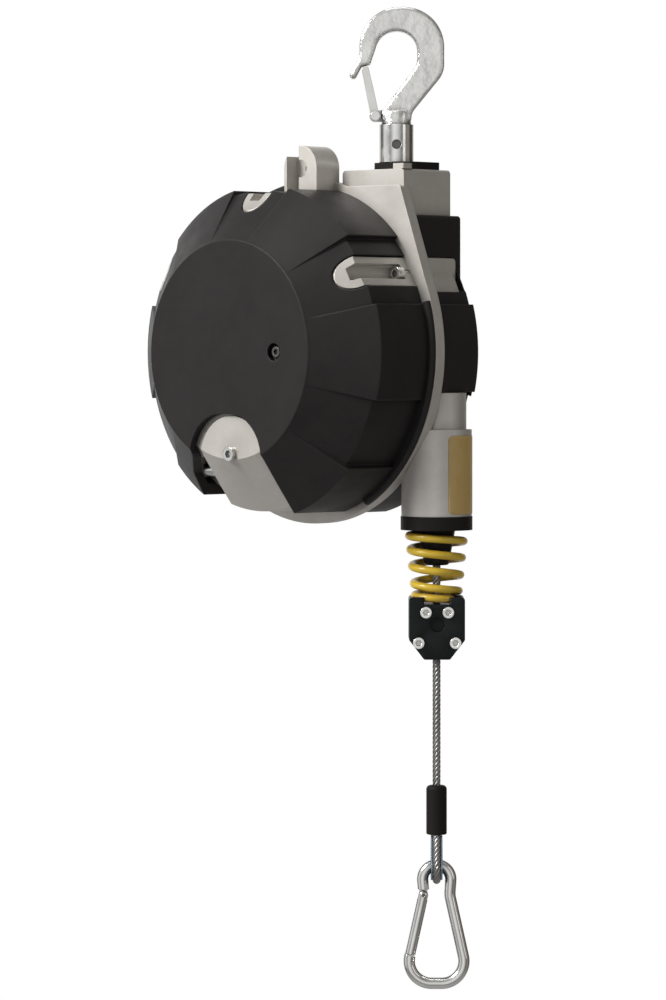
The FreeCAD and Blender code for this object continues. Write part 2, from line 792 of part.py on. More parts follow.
def build_front_cover():
    body = new_body("front_cover")
    profile = new_sketch(body, "XY_Plane")
    disc, rise = size.cover_disc_radius, size.cover_disc_rise
    rim = -size.flange_thickness
    add_outline(profile, [(0, -(size.cover_front + rise)), (disc - rise, -(size.cover_front + rise)),
                          (disc, -size.cover_front), (size.cover_radius, -size.cover_side),
                          (size.cover_radius, rim), (0, rim)])
    turn(body, "Revolution", profile)
    doc.recompute()
    add_ribs(body, -size.cover_side, -size.cover_front)

    hollow = new_sketch(body, "XY_Plane")
    gap = size.cover_gap
    inner = size.casing_radius + gap
    add_outline(hollow, [(0, -(size.casing_front + gap)),
                         (size.casing_face_radius + gap * 0.5, -(size.casing_front + gap)),
                         (inner, -(size.casing_side + gap * 0.5)), (inner, rim), (0, rim)])
    turn(body, "Groove", hollow)
    doc.recompute()

    window = window_sketch(body, WINDOW_FROM, size.casing_radius * 0.8, size.window_height,
                           -size.window_front, rim)
    window_cut = extrude(body, "Pocket", window, size.casing_radius, True)
    doc.recompute()
    repeat_windows(body, window_cut)
    doc.recompute()

    # arch over the worm housing, wider on the side where the worm comes out
    arch = new_sketch(body, "XZ_Plane")
    right, crown = size.arch_radius, -(size.arch_height - size.arch_radius)
    foot = -size.flange_radius * 1.05
    left = -(size.arch_radius + size.arch_spare)
    add_outline(arch, [(right, foot), (right, crown, right * 0.96), (left, crown, right * 0.96),
                       (left - 1, 4 - size.arch_height, 4), (left - size.arch_flare, -size.arch_flare_drop, 4),
                       (left - size.arch_flare * 1.5, foot)])
    extrude(body, "Pocket", arch, size.cover_front * 1.2, True)
    doc.recompute()

    lug = new_sketch(body, "XZ_Plane")
    reach = size.lug_radius + size.cover_gap
    add_outline(lug, [(size.lug_x - reach, size.casing_radius * 0.9), (size.lug_x + reach, size.casing_radius * 0.9),
                      (size.lug_x + reach, size.lug_height), (size.lug_x - reach, size.lug_height)])
    extrude(body, "Pocket", lug, size.lug_depth + size.cover_gap, True)
    pocket = new_sketch(body, "XZ_Plane", size.cover_front + rise)
    add_circle(pocket, size.cover_screw_x, 0, size.cover_screw_pocket)
    extrude(body, "Pocket", pocket, size.cover_screw_sink)
    hole = new_sketch(body, "XZ_Plane", size.cover_front + rise)
    add_circle(hole, size.cover_screw_x, 0, size.flange_screw_radius + size.fit_gap)
    extrude(body, "Pocket", hole, size.cover_screw_sink * 2)
    doc.recompute()
    return finish(body, "front_cover", DRUM_PLACE)


def build_rear_cover():
    body = new_body("rear_cover")
    profile = new_sketch(body, "XY_Plane")
    disc, rim = size.cover_disc_radius, size.flange_thickness
    add_outline(profile, [(0, rim), (size.cover_radius, rim), (size.cover_radius, size.rear_cover_side),
                          (disc, size.rear_cover_back), (0, size.rear_cover_back)])
    turn(body, "Revolution", profile)
    doc.recompute()
    add_ribs(body, size.rear_cover_side, size.rear_cover_back)

    shoulder = new_sketch(body, "XZ_Plane", -rim)
    side, top, left = size.shoulder_side, size.shoulder_top, size.shoulder_left
    add_outline(shoulder, [(left, size.block_foot * 0.5), (side, size.block_foot * 0.5), (side, top, 3),
                           (left, top, 3)])
    extrude(body, "Pad", shoulder, size.shoulder_back - rim, True)
    doc.recompute()

    hollow = new_sketch(body, "XY_Plane")
    gap = size.cover_gap
    inner = size.casing_radius + gap
    add_outline(hollow, [(0, rim), (inner, rim), (inner, size.rear_side + gap * 0.5),
                         (size.casing_face_radius + gap * 0.5, size.casing_rear + gap), (0, size.casing_rear + gap)])
    turn(body, "Groove", hollow)
    doc.recompute()
    block_cut = new_sketch(body, "XZ_Plane")
    half = size.block_width / 2 + gap
    add_outline(block_cut, [(size.hook_x - half, size.block_foot * 0.7), (size.hook_x + half, size.block_foot * 0.7),
                            (size.hook_x + half, size.block_top), (size.hook_x - half, size.block_top)])
    extrude(body, "Pocket", block_cut, size.block_depth + gap)
    doc.recompute()

    # the rope outlet passes out through the lower right of the cover
    outlet = new_sketch(body, "XY_Plane", -size.tube_bottom)
    reach = size.tube_radius + gap
    far = size.flange_radius * 1.1
    add_outline(outlet, [(size.rope_x - reach, 0), (far, 0), (far, size.rope_y + reach),
                         (size.rope_x - reach, size.rope_y + reach, reach * 0.5)])
    extrude(body, "Pocket", outlet, size.tube_bottom - size.neck_top + gap, True)
    window = new_sketch(body, "YZ_Plane", size.casing_radius * 0.7)
    middle = size.flange_screw_circle * sine(size.window_angle)
    half = size.window_height / 2
    back = size.shoulder_back - size.cover_wall * 1.5
    add_outline(window, [(rim, middle - half), (back, middle - half, 3), (back, middle + half, 3),
                         (rim, middle + half)])
    extrude(body, "Pocket", window, size.casing_radius, True)
    doc.recompute()
    return finish(body, "rear_cover", DRUM_PLACE)


# ----------------------------------------------------------------- fasteners


def socket_screw(radius, length, head_radius, head_height, at, direction):
    """A cap screw with a hexagon socket, its head's seat at a point."""
    point, away = Vector(*[float(amount) for amount in at]), Vector(*direction)
    radius, length = float(radius), float(length)
    head_radius, head_height = float(head_radius), float(head_height)
    shank = Part.makeCylinder(radius, length, point, -away)
    head = Part.makeCylinder(head_radius, head_height, point, away)
    across = head_radius * 0.55
    flats = [Vector(across * math.cos(math.radians(60 * i)), across * math.sin(math.radians(60 * i)), 0)
             for i in range(6)]
    socket = Part.Face(Part.makePolygon(flats + flats[:1])).extrude(Vector(0, 0, head_height))
    socket.Placement = Placement(point + away * (head_height * 0.45), Rotation(Vector(0, 0, 1), away))
    return head.fuse(shank).removeSplitter().cut(socket)


def build_screws():
    seats = [polar(size.flange_screw_circle, angle) for angle in SCREW_ANGLES]
    screws = [socket_screw(size.flange_screw_radius, size.screw_length, size.screw_head_radius,
                           size.screw_head_height, (x, -size.screw_seat, z), (0, -1, 0)) for x, z in seats]
    finish(shape_node("casing_screws", Part.makeCompound(screws)), "casing_screws", DRUM_PLACE)
    seat = -(size.cover_front + size.cover_disc_rise - size.cover_screw_sink)
    screw = socket_screw(size.flange_screw_radius, size.cover_screw_length, size.cover_screw_radius, 3,
                         (size.cover_screw_x, seat, 0), (0, -1, 0))
    finish(shape_node("cover_screw", screw), "cover_screw", DRUM_PLACE)
    boss = socket_screw(size.flange_screw_radius, size.boss_screw_length, size.screw_head_radius, 3.5,
                        (0, -size.boss_front, -size.boss_screw_drop), (0, -1, 0))
    finish(shape_node("worm_housing_screw", boss), "worm_housing_screw", DRUM_PLACE)


# ---------------------------------------------------- drum, shaft and springs


def build_drum():
    body = new_body("rope_drum")
    land = size.drum_radius + size.drum_land
    rim = land + size.drum_flange_rise
    half = size.drum_pitch * size.drum_turns / 2
    front, back = size.rope_y - half, size.rope_y + half
    web, hub = size.drum_web, size.drum_hub_radius
    case_front = -size.spring_case_front
    case_inner = size.spring_case_radius - size.spring_case_wall
    flange = size.drum_flange
    profile = new_sketch(body, "XY_Plane")
    add_outline(profile, [
        (size.bearing_radius, front - flange), (case_inner, front - flange), (case_inner, case_front),
        (size.spring_case_radius, case_front), (size.spring_case_radius, front - flange),
        (rim, front - flange), (rim, front), (land, front), (land, back), (rim, back), (rim, back + flange),
        (land - web, back + flange), (land - web, front - flange + web), (hub, front - flange + web),
        (hub, back - flange), (size.bearing_radius, back - flange)])
    turn(body, "Revolution", profile)
    doc.recompute()
    first = front + size.drum_pitch / 2
    groove = new_sketch(body, "XY_Plane")
    rope = size.rope_radius
    add_outline(groove, [(size.drum_radius, first - rope * 0.4), (land + 1, first - rope * 1.1),
                         (land + 1, first + rope * 1.1), (size.drum_radius, first + rope * 0.4)])
    cut_groove = turn(body, "Groove", groove)
    doc.recompute()
    row = body.newObject("PartDesign::LinearPattern", "LinearPattern")
    row.Originals = [cut_groove]
    row.Direction = (origin_item(body, "Y_Axis"), [""])
    bind(row, "Length", size.drum_pitch * (size.drum_turns - 1))
    row.Occurrences = int(size.drum_turns)
    body.Tip = row
    doc.recompute()

    # openings in the web lighten the drum
    holes = new_sketch(body, "XZ_Plane", -(front - flange))
    add_circle(holes, (hub + land) / 2, 0, (land - hub) * 0.22)
    hole = extrude(body, "Pocket", holes, web * 1.5)
    doc.recompute()
    around(body, hole, 6)
    doc.recompute()
    return finish(body, "rope_drum", DRUM_PLACE)


def build_drum_parts():
    rope = size.rope_radius
    land = size.drum_radius + size.drum_land
    half = size.drum_pitch * size.drum_turns / 2
    front = size.rope_y - half - size.drum_flange
    lid_front = -(size.spring_case_front + size.spring_lid_thickness)
    shaft = size.shaft_radius

    wound = new_body("rope_on_drum")
    sketch = new_sketch(wound, "XY_Plane")
    inner = land + 0.1
    outer = size.drum_radius + 2 * rope
    low = size.rope_y - half + size.drum_pitch / 2 - rope
    high = size.rope_y + half - size.drum_pitch / 2 + rope
    add_outline(sketch, [(inner, low), (outer, low), (outer, high), (inner, high)])
    turn(wound, "Revolution", sketch)
    finish(wound, "rope_on_drum", DRUM_PLACE)

    lid = cut(rod(size.spring_case_radius, size.spring_lid_thickness, (0, lid_front, 0), "y"),
              rod(size.bearing_radius, size.spring_lid_thickness, (0, lid_front, 0), "y"))
    finish(lid, "spring_case_lid", DRUM_PLACE)

    bearing_at = {"front_bearing": lid_front, "rear_bearing": size.rope_y + half - size.bearing_width}
    for label, at in bearing_at.items():
        width = size.spring_lid_thickness if label == "front_bearing" else size.bearing_width - size.drum_flange
        ring = cut(rod(size.bearing_radius, width, (0, at, 0), "y"),
                   rod(shaft + size.running_gap, width, (0, at, 0), "y"))
        finish(ring, label, DRUM_PLACE)

    # arbor: a shaft between the two casing hubs, thicker inside the power spring
    arbor = new_body("spring_arbor")
    sketch = new_sketch(arbor, "XY_Plane")
    wheel_front = size.worm_y - size.wheel_width / 2
    add_outline(sketch, [(0, 3 - size.casing_front), (shaft, 3 - size.casing_front),
                         (shaft, -size.spring_case_front + size.arbor_gap),
                         (size.arbor_radius, -size.spring_case_front + size.arbor_gap),
                         (size.arbor_radius, front - size.arbor_gap), (shaft, front - size.arbor_gap),
                         (shaft, size.casing_rear - 4), (0, size.casing_rear - 4)])
    turn(arbor, "Revolution", sketch)
    finish(arbor, "spring_arbor", DRUM_PLACE)

    spring = flat_spring()
    finish(shape_node("power_spring", spring), "power_spring", DRUM_PLACE)


def flat_spring():
    """The power spring: a flat strip in half-circle turns about the arbor."""
    strip, pitch = float(size.strip_thickness), float(size.strip_pitch)
    start = float(size.arbor_radius + size.fit_gap)
    stop = float(size.spring_case_radius - size.spring_case_wall) - strip - pitch / 2
    back = float(size.rope_y - size.drum_pitch * size.drum_turns / 2 - size.drum_flange - size.arbor_gap)
    front = -float(size.spring_case_front - size.arbor_gap)
    count = int((stop - start) / (pitch / 2))
    edges, ends = [], []
    for offset in (0.0, strip):
        for i in range(count):
            # half circles about two centres half a pitch apart join smoothly
            middle = Vector(i % 2 * pitch / 2, front, 0)
            side = 1 if i % 2 == 0 else -1
            reach = side * (start + offset + pitch / 2 * i)
            first, last = middle + Vector(reach, 0, 0), middle - Vector(reach, 0, 0)
            edges.append(Part.Arc(first, middle + Vector(0, 0, reach), last).toShape())
            ends += [first, last]
    turns = 2 * count
    edges += [Part.makeLine(ends[0], ends[turns]), Part.makeLine(ends[turns - 1], ends[-1])]
    wire = Part.Wire(Part.__sortEdges__(edges))
    return Part.Face(wire).extrude(Vector(0, back - front, 0))


# --------------------------------------------------------------- worm gearing


def build_worm_gear():
    # the wheel's teeth are straight-sided and narrower than their gaps, so that
    # the thread, which leans across the wheel's face, runs clear of both flanks
    pitch_radius = size.wheel_teeth * size.gear_module / 2
    module = float(size.gear_module)
    tip, root = float(pitch_radius) + module * 0.9, float(pitch_radius) - module * 1.15
    step = 360.0 / int(size.wheel_teeth)
    corners = []
    for i in range(int(size.wheel_teeth)):
        middle = -90 + step * i
        for radius, share in ((root, -0.24), (tip, -0.1), (tip, 0.1), (root, 0.24)):
            angle = math.radians(middle + step * share)
            corners.append(Vector(radius * math.cos(angle), 0, radius * math.sin(angle)))
    rim = Part.Face(Part.makePolygon(corners + corners[:1])).extrude(Vector(0, float(size.wheel_width), 0))
    shaft = Part.makeCylinder(float(size.shaft_radius), float(size.wheel_width), Vector(), Vector(0, 1, 0))
    holes = [Part.makeCylinder(float(pitch_radius) * 0.16, float(size.wheel_width),
                               Vector(float(pitch_radius) * 0.56 * math.cos(math.radians(60 * i)), 0,
                                      float(pitch_radius) * 0.56 * math.sin(math.radians(60 * i))),
                               Vector(0, 1, 0)) for i in range(6)]
    wheel = rim.cut(holes + [shaft])
    wheel.translate(Vector(0, float(size.worm_y - size.wheel_width / 2), 0))
    finish(shape_node("worm_wheel", wheel), "worm_wheel", DRUM_PLACE)

    # the thread is a helix about X whose gap faces a wheel tooth at mid length
    lead = math.pi * module
    turns = int(float(size.worm_length) / lead) - 1
    helix = Part.makeHelix(lead, lead * turns, float(size.worm_root_radius))
    start = Vector(float(size.worm_root_radius) - 0.5, 0, 0)
    top = float(size.worm_tip_radius)
    base_half, top_half = lead * 0.26, lead * 0.12
    profile = Part.makePolygon([start + Vector(0, 0, -base_half), Vector(top, 0, -top_half),
                                Vector(top, 0, top_half), start + Vector(0, 0, base_half),
                                start + Vector(0, 0, -base_half)])
    thread = Part.Wire(helix).makePipeShell([profile], True, True)
    thread.translate(Vector(0, 0, -lead * turns / 2))
    core = Part.makeCylinder(float(size.worm_root_radius), float(size.worm_length),
                             Vector(0, 0, -float(size.worm_length) / 2))
    journal = Part.makeCylinder(float(size.worm_journal_radius), float(size.worm_end_x + size.worm_reach),
                                Vector(0, 0, -float(size.worm_end_x)))
    head = Part.makeCylinder(float(size.worm_head_radius), float(size.worm_head_length),
                             Vector(0, 0, -float(size.worm_end_x)))
    flats = [Vector(4 * math.cos(math.radians(60 * i)), 4 * math.sin(math.radians(60 * i)), 0) for i in range(6)]
    socket = Part.Face(Part.makePolygon(flats + flats[:1])).extrude(Vector(0, 0, 7))
    socket.translate(Vector(0, 0, -float(size.worm_end_x)))
    worm = core.fuse([thread, journal, head]).removeSplitter().cut(socket)
    # an odd number of turns is turned half way round, so that a gap meets the wheel
    worm.rotate(Vector(), Vector(0, 0, 1), 180 * (turns % 2))
    worm.rotate(Vector(), Vector(0, 1, 0), 90)
    worm.translate(Vector(0, float(size.worm_y), -float(WORM_DROP)))
    finish(shape_node("worm_screw", worm), "worm_screw", DRUM_PLACE)

    bore = size.worm_journal_radius + size.running_gap
    chamber = size.worm_length / 2 + 1
    wall = size.arch_radius - size.worm_boss_gap - chamber
    for label, at in (("worm_bush_left", -(chamber + wall)), ("worm_bush_right", chamber)):
        place = (at, size.worm_y, -WORM_DROP)
        finish(cut(rod(size.worm_bush_radius, wall, place, "x"), rod(bore, wall, place, "x")), label, DRUM_PLACE)


# ------------------------------------------------------------- hook and swivel


HOOK_PLACE = (0, 0, 0)


def build_hook():
    body = new_body("top_hook")
    neck, foot = size.hook_neck_radius, 3.5 - size.hook_rise
    back, crown, bend = size.hook_back, size.hook_crown, size.hook_crown_radius
    bowl, left, right = size.hook_bowl_radius, size.hook_bowl_left, size.hook_bowl_right
    side, tip, drop = size.hook_nose_side, size.hook_nose_reach, size.hook_nose_drop
    inner = size.hook_nose_width - side
    neck_top = size.hook_neck_length - size.hook_rise

    # the forging is flat, with rounded edges; its saddle is at the origin
    plan = new_sketch(body, "XZ_Plane")
    add_outline(plan, [(neck, foot), (neck + 0.6, neck_top - 1, 10), (back, -size.hook_shoulder_drop, 18),
                       (back, crown, bend), (-side, crown, bend), (-side, -size.hook_nose_bend, 20),
                       (-tip, 3 - drop, 2.4), (4.5 - tip, -drop, 2.4), (1.5 - side, 10 - drop, 1),
                       (inner, -size.hook_bowl_depth, 2.6), (-left, 0, bowl), (right, 0, bowl),
                       (right, -size.hook_bowl_depth, 15), (-neck, neck_top - 0.5), (-neck, foot)])
    forging = extrude(body, "Pad", plan, size.hook_thickness, midplane=True)
    doc.recompute()
    flat = float(size.hook_thickness) / 2
    round_edges(body, forging, size.hook_edge_round,
                lambda edge: all(abs(abs(vertex.Y) - flat) < 0.01 for vertex in edge.Vertexes)
                and edge.BoundBox.YLength < 0.01 and edge.BoundBox.ZMax > float(foot) + 0.01)
    doc.recompute()
    shank = new_sketch(body, "XY_Plane", -size.hook_rise)
    add_circle(shank, 0, 0, neck)
    extrude(body, "Pad", shank, size.hook_neck_length)
    tang = new_sketch(body, "XY_Plane", -size.hook_rise)
    add_circle(tang, 0, 0, size.hook_tang_radius)
    extrude(body, "Pad", tang, size.hook_tang_length, True)
    doc.recompute()

    # ear that carries the latch beside the neck
    ear = new_sketch(body, "XZ_Plane")
    boss = size.latch_boss_radius
    add_outline(ear, [(0, -size.latch_drop - boss), (-(size.latch_reach + boss), -size.latch_drop - boss, boss * 0.95),
                      (-(size.latch_reach + boss), -size.latch_drop + boss, boss * 0.95),
                      (0, -size.latch_drop + boss)])
    extrude(body, "Pad", ear, size.latch_boss_width, midplane=True)
    doc.recompute()
    for face in (1, -1):
        cheek_room = new_sketch(body, "XZ_Plane", face * size.latch_boss_width / 2)
        add_circle(cheek_room, -size.latch_reach, -size.latch_drop, boss + 2 * size.fit_gap)
        extrude(body, "Pocket", cheek_room, size.hook_thickness, face > 0)
        doc.recompute()
    pin_hole = new_sketch(body, "XZ_Plane")
    add_circle(pin_hole, -size.latch_reach, -size.latch_drop, size.latch_pin_radius)
    extrude(body, "Pocket", pin_hole, size.latch_width * 2, midplane=True)
    cross_hole = new_sketch(body, "XZ_Plane")
    add_circle(cross_hole, 0, -size.hook_rise - size.sleeve_length + size.sleeve_pin_rise, size.sleeve_pin_radius)
    extrude(body, "Pocket", cross_hole, size.sleeve_radius * 3, midplane=True)
    doc.recompute()
    return finish(body, "top_hook", HOOK_PLACE, size.hook_turn)


def build_latch():
    # a pressed blade with two cheeks round the ear, drawn upright about its pin
    # and leaning out towards the nose
    body = new_body("hook_latch")
    boss, half = size.latch_boss_radius, size.latch_blade / 2
    width, sheet, long = size.latch_width, size.latch_sheet, size.latch_length
    foot_x, foot_z = -size.latch_reach, -size.latch_drop

    def latch_sketch():
        sketch = new_sketch(body, "XZ_Plane")
        sketch.AttachmentOffset = Placement(Vector(), Rotation(Vector(0, 0, 1), float(size.latch_lean)))
        bind(sketch, "AttachmentOffset.Base.x", foot_x)
        bind(sketch, "AttachmentOffset.Base.y", foot_z)
        return sketch

    rounds = latch_sketch()
    add_circle(rounds, 0, 0, boss)
    extrude(body, "Pad", rounds, width, midplane=True)
    doc.recompute()
    blade = latch_sketch()
    add_outline(blade, [(half, 0), (half, long * 0.5), (half * 0.85, long, 1), (-half * 0.85, long, 1),
                        (-half, long * 0.5), (-half, 0)])
    extrude(body, "Pad", blade, width, midplane=True)
    doc.recompute()
    hollow = latch_sketch()
    clear = boss + 3 * size.fit_gap
    add_outline(hollow, [(-2 * boss, -2 * boss), (2 * boss, -2 * boss), (2 * boss, long * 1.1),
                         (sheet - half, long * 1.1), (sheet - half, clear), (-2 * boss, clear)])
    extrude(body, "Pocket", hollow, width - 2 * sheet, midplane=True)
    pin_hole = new_sketch(body, "XZ_Plane")
    add_circle(pin_hole, foot_x, foot_z, size.latch_pin_radius + size.running_gap)
    extrude(body, "Pocket", pin_hole, width * 2, midplane=True)
    doc.recompute()
    finish(body, "hook_latch", HOOK_PLACE, size.hook_turn)

    pin = new_body("latch_pin")
    circle = new_sketch(pin, "XZ_Plane")
    add_circle(circle, foot_x, foot_z, size.latch_pin_radius)
    extrude(pin, "Pad", circle, width + 2, midplane=True)
    doc.recompute()
    heads = new_sketch(pin, "XZ_Plane", width / 2 + 0.2)
    add_circle(heads, foot_x, foot_z, size.latch_pin_radius * 1.6)
    extrude(pin, "Pad", heads, 1.2)
    doc.recompute()
    heads = new_sketch(pin, "XZ_Plane", -(width / 2 + 1.4))
    add_circle(heads, foot_x, foot_z, size.latch_pin_radius * 1.6)
    extrude(pin, "Pad", heads, 1.2)
    doc.recompute()
    finish(pin, "latch_pin", HOOK_PLACE, size.hook_turn)


def build_swivel():
    # the stem hangs in the block on its bearing and nut and is pinned to the hook
    body = new_body("swivel_stem")
    top = -size.hook_rise
    seat = top - size.sleeve_length
    radius = size.sleeve_radius
    nut_bottom = BEARING_TOP - size.thrust_height - size.nut_height
    stem_foot = seat - (size.block_top + size.washer_thickness - nut_bottom) - 2
    profile = new_sketch(body, "XZ_Plane")
    tang = size.hook_tang_radius
    add_outline(profile, [(0, stem_foot), (size.stem_radius, stem_foot), (size.stem_radius, seat), (radius, seat),
                          (radius, top), (tang, top), (tang, top - size.hook_tang_length),
                          (0, top - size.hook_tang_length)])
    turn(body, "Revolution", profile)
    doc.recompute()
    hole = new_sketch(body, "XZ_Plane")
    add_circle(hole, 0, seat + size.sleeve_pin_rise, size.sleeve_pin_radius)
    extrude(body, "Pocket", hole, radius * 3, midplane=True)
    doc.recompute()
    finish(body, "swivel_stem", HOOK_PLACE, size.hook_turn)

    pin = new_body("sleeve_pin")
    circle = new_sketch(pin, "XZ_Plane")
    add_circle(circle, 0, seat + size.sleeve_pin_rise, size.sleeve_pin_radius)
    extrude(pin, "Pad", circle, radius * 2 - 2, midplane=True)
    doc.recompute()
    finish(pin, "sleeve_pin", HOOK_PLACE, size.hook_turn)

    drop = seat - size.block_top - size.washer_thickness
    nut_at = nut_bottom + drop
    nut = cut(hexagon(size.nut_radius, size.nut_height, (0, 0, nut_at)),
              rod(size.stem_radius, size.nut_height, (0, 0, nut_at)))
    finish(nut, "stem_nut", HOOK_PLACE)
    bearing_at = nut_bottom + size.nut_height + drop
    bearing = cut(rod(size.thrust_radius, size.thrust_height, (0, 0, bearing_at)),
                  rod(size.stem_radius, size.thrust_height, (0, 0, bearing_at)))
    finish(bearing, "thrust_bearing", HOOK_PLACE)

    washer = new_body("swivel_washer")
    outline = new_sketch(washer, "XY_Plane", size.block_top)
    half_x, half_y = size.washer_width / 2, size.washer_depth / 2
    middle_x, middle_y = size.hook_x + size.washer_shift_x, size.hook_y + size.washer_shift_y
    add_outline(outline, [(middle_x - half_x, middle_y - half_y, 6), (middle_x + half_x, middle_y - half_y, 6),
                          (middle_x + half_x, middle_y + half_y, 6), (middle_x - half_x, middle_y + half_y, 6)])
    extrude(washer, "Pad", outline, size.washer_thickness - 0.3)
    doc.recompute()
    hole = new_sketch(washer, "XY_Plane", size.block_top)
    add_circle(hole, size.hook_x, size.hook_y, size.stem_radius + size.fit_gap)
    extrude(washer, "Pocket", hole, size.washer_thickness * 2, True)
    doc.recompute()
    finish(washer, "swivel_washer", DRUM_PLACE)


def hexagon(radius, length, at):
    item = doc.addObject("Part::Prism", "Prism")
    item.Polygon = 6
    bind(item, "Circumradius", radius)
    bind(item, "Height", length)
    for letter, amount in zip("xyz", at):
        bind(item, f"Placement.Base.{letter}", amount)
    return item


# --------------------------------------------------- rope outlet and load end


ROPE_PLACE = (DRUM_PLACE[0] + size.rope_x, DRUM_PLACE[1] + size.rope_y, DRUM_PLACE[2])
CLAMP_TOP = -(size.tube_bottom + size.ring_height + size.bumper_height + 1)
CLAMP_BOTTOM = CLAMP_TOP - size.clamp_height
SLEEVE_TOP = CLAMP_BOTTOM - size.lower_rope_length
SLEEVE_BOTTOM = SLEEVE_TOP - size.sleeve_cover_length


def build_outlet():
    bottom = -size.tube_bottom
    ring = cut(rod(size.ring_radius, size.ring_height, (0, 0, bottom - size.ring_height)),
               rod(size.tube_bore_radius, size.ring_height, (0, 0, bottom - size.ring_height)))
    finish(ring, "outlet_ring", ROPE_PLACE)

    guide = new_body("rope_guide")
    sketch = new_sketch(guide, "XZ_Plane")
    top, bore = size.guide_top_radius, size.guide_bore_radius
    inside = bottom + size.guide_length
    outside = bottom - size.ring_height
    add_outline(sketch, [(bore, outside - size.guide_tip), (size.guide_tip_radius, outside - size.guide_tip, 2),
                         (top - 1, outside), (top, outside), (top, inside), (bore + 3, inside), (bore, inside - 5)])
    turn(guide, "Revolution", sketch)
    doc.recompute()
    finish(guide, "rope_guide", ROPE_PLACE)


def bumper_shape():
    """The conical bumper spring: a round wire wound down a cone."""
    wire = float(size.bumper_wire_radius)
    drop = float(size.bumper_height) - 2 * wire
    wide, narrow = float(size.bumper_top_radius), float(size.bumper_end_radius)
    turns = float(size.bumper_turns)
    cone = math.degrees(math.atan((wide - narrow) / drop))
    helix = Part.makeHelix(drop / turns, drop, narrow, cone)
    section = Part.Wire(Part.makeCircle(wire, Vector(narrow, 0, 0), Vector(0, 1, 0)))
    coil = Part.Wire(helix).makePipeShell([section], True, True)
    coil.rotate(Vector(), Vector(0, 0, 1), float(size.bumper_phase))
    bottom = float(size.tube_bottom + size.ring_height + size.bumper_height) - wire
    coil.translate(Vector(0, 0, -bottom))
    return coil


def build_clamp():
    width, depth, corner = size.clamp_width, size.clamp_depth, size.clamp_corner
    for label, side in (("clamp_front", 1), ("clamp_rear", -1)):
        body = new_body(label)
        outline = new_sketch(body, "XZ_Plane", size.clamp_split / 2 * side)
        half = width / 2
        add_outline(outline, [(half - corner, CLAMP_BOTTOM, 2), (half, CLAMP_BOTTOM + corner * 1.3, 2),
                              (half, CLAMP_TOP, 2.5), (-half, CLAMP_TOP, 2.5),
                              (-half, CLAMP_BOTTOM + corner * 1.3, 2), (corner - half, CLAMP_BOTTOM, 2)])
        extrude(body, "Pad", outline, (depth - size.clamp_split) / 2, side < 0)
        doc.recompute()
        groove = new_sketch(body, "XY_Plane")
        add_circle(groove, 0, 0, size.rope_radius)
        extrude(body, "Pocket", groove, -CLAMP_BOTTOM * 1.2)
        holes = new_sketch(body, "XZ_Plane", depth / 2 * side)
        for x, z in clamp_screw_places():
            add_circle(holes, x, z, size.clamp_screw_radius)
        extrude(body, "Pocket", holes, depth, side < 0)
        doc.recompute()
        if side > 0:
            recess = new_sketch(body, "XZ_Plane", depth / 2)
            add_circle(recess, 0, CLAMP_TOP - size.clamp_height * 0.44, size.clamp_recess_radius)
            extrude(body, "Pocket", recess, size.clamp_recess_depth)
            doc.recompute()
        finish(body, label, ROPE_PLACE, size.clamp_turn)
    screws = [socket_screw(size.clamp_screw_radius, size.clamp_depth * 0.85, size.clamp_head_radius,
                           size.clamp_head_height, (x, -size.clamp_depth / 2, z), (0, -1, 0))
              for x, z in clamp_screw_places()]
    finish(shape_node("clamp_screws", Part.makeCompound(screws)), "clamp_screws", ROPE_PLACE, size.clamp_turn)


def clamp_screw_places():
    """Two screws close together at the top of the clamp and two wider apart below."""
    top, low = CLAMP_TOP - size.clamp_height * 0.24, CLAMP_TOP - size.clamp_height * 0.73
    near, wide = size.clamp_width * 0.2, size.clamp_width * 0.33
    return [(-near, top), (near, top), (-wide, low), (wide, low)]


def eye_path(radius, half_start, top):
    """A loop down from two points, round a half circle and back up."""
    middle = Vector(0, 0, float(EYE_Z))
    start = Vector(0, float(half_start), float(top))
    reach = (start - middle).Length
    lean = math.acos(float(radius) / reach)
    slope = math.atan2(start.z - middle.z, start.y) - lean
    touch = middle + Vector(0, float(radius) * math.cos(slope), float(radius) * math.sin(slope))
    mirror = Vector(0, -touch.y, touch.z)
    bottom = middle - Vector(0, 0, float(radius))
    return Part.Wire([Part.makeLine(start, touch), Part.Arc(touch, bottom, mirror).toShape(),
                      Part.makeLine(mirror, Vector(0, -start.y, start.z))])


EYE_Z = SLEEVE_BOTTOM - size.eye_drop


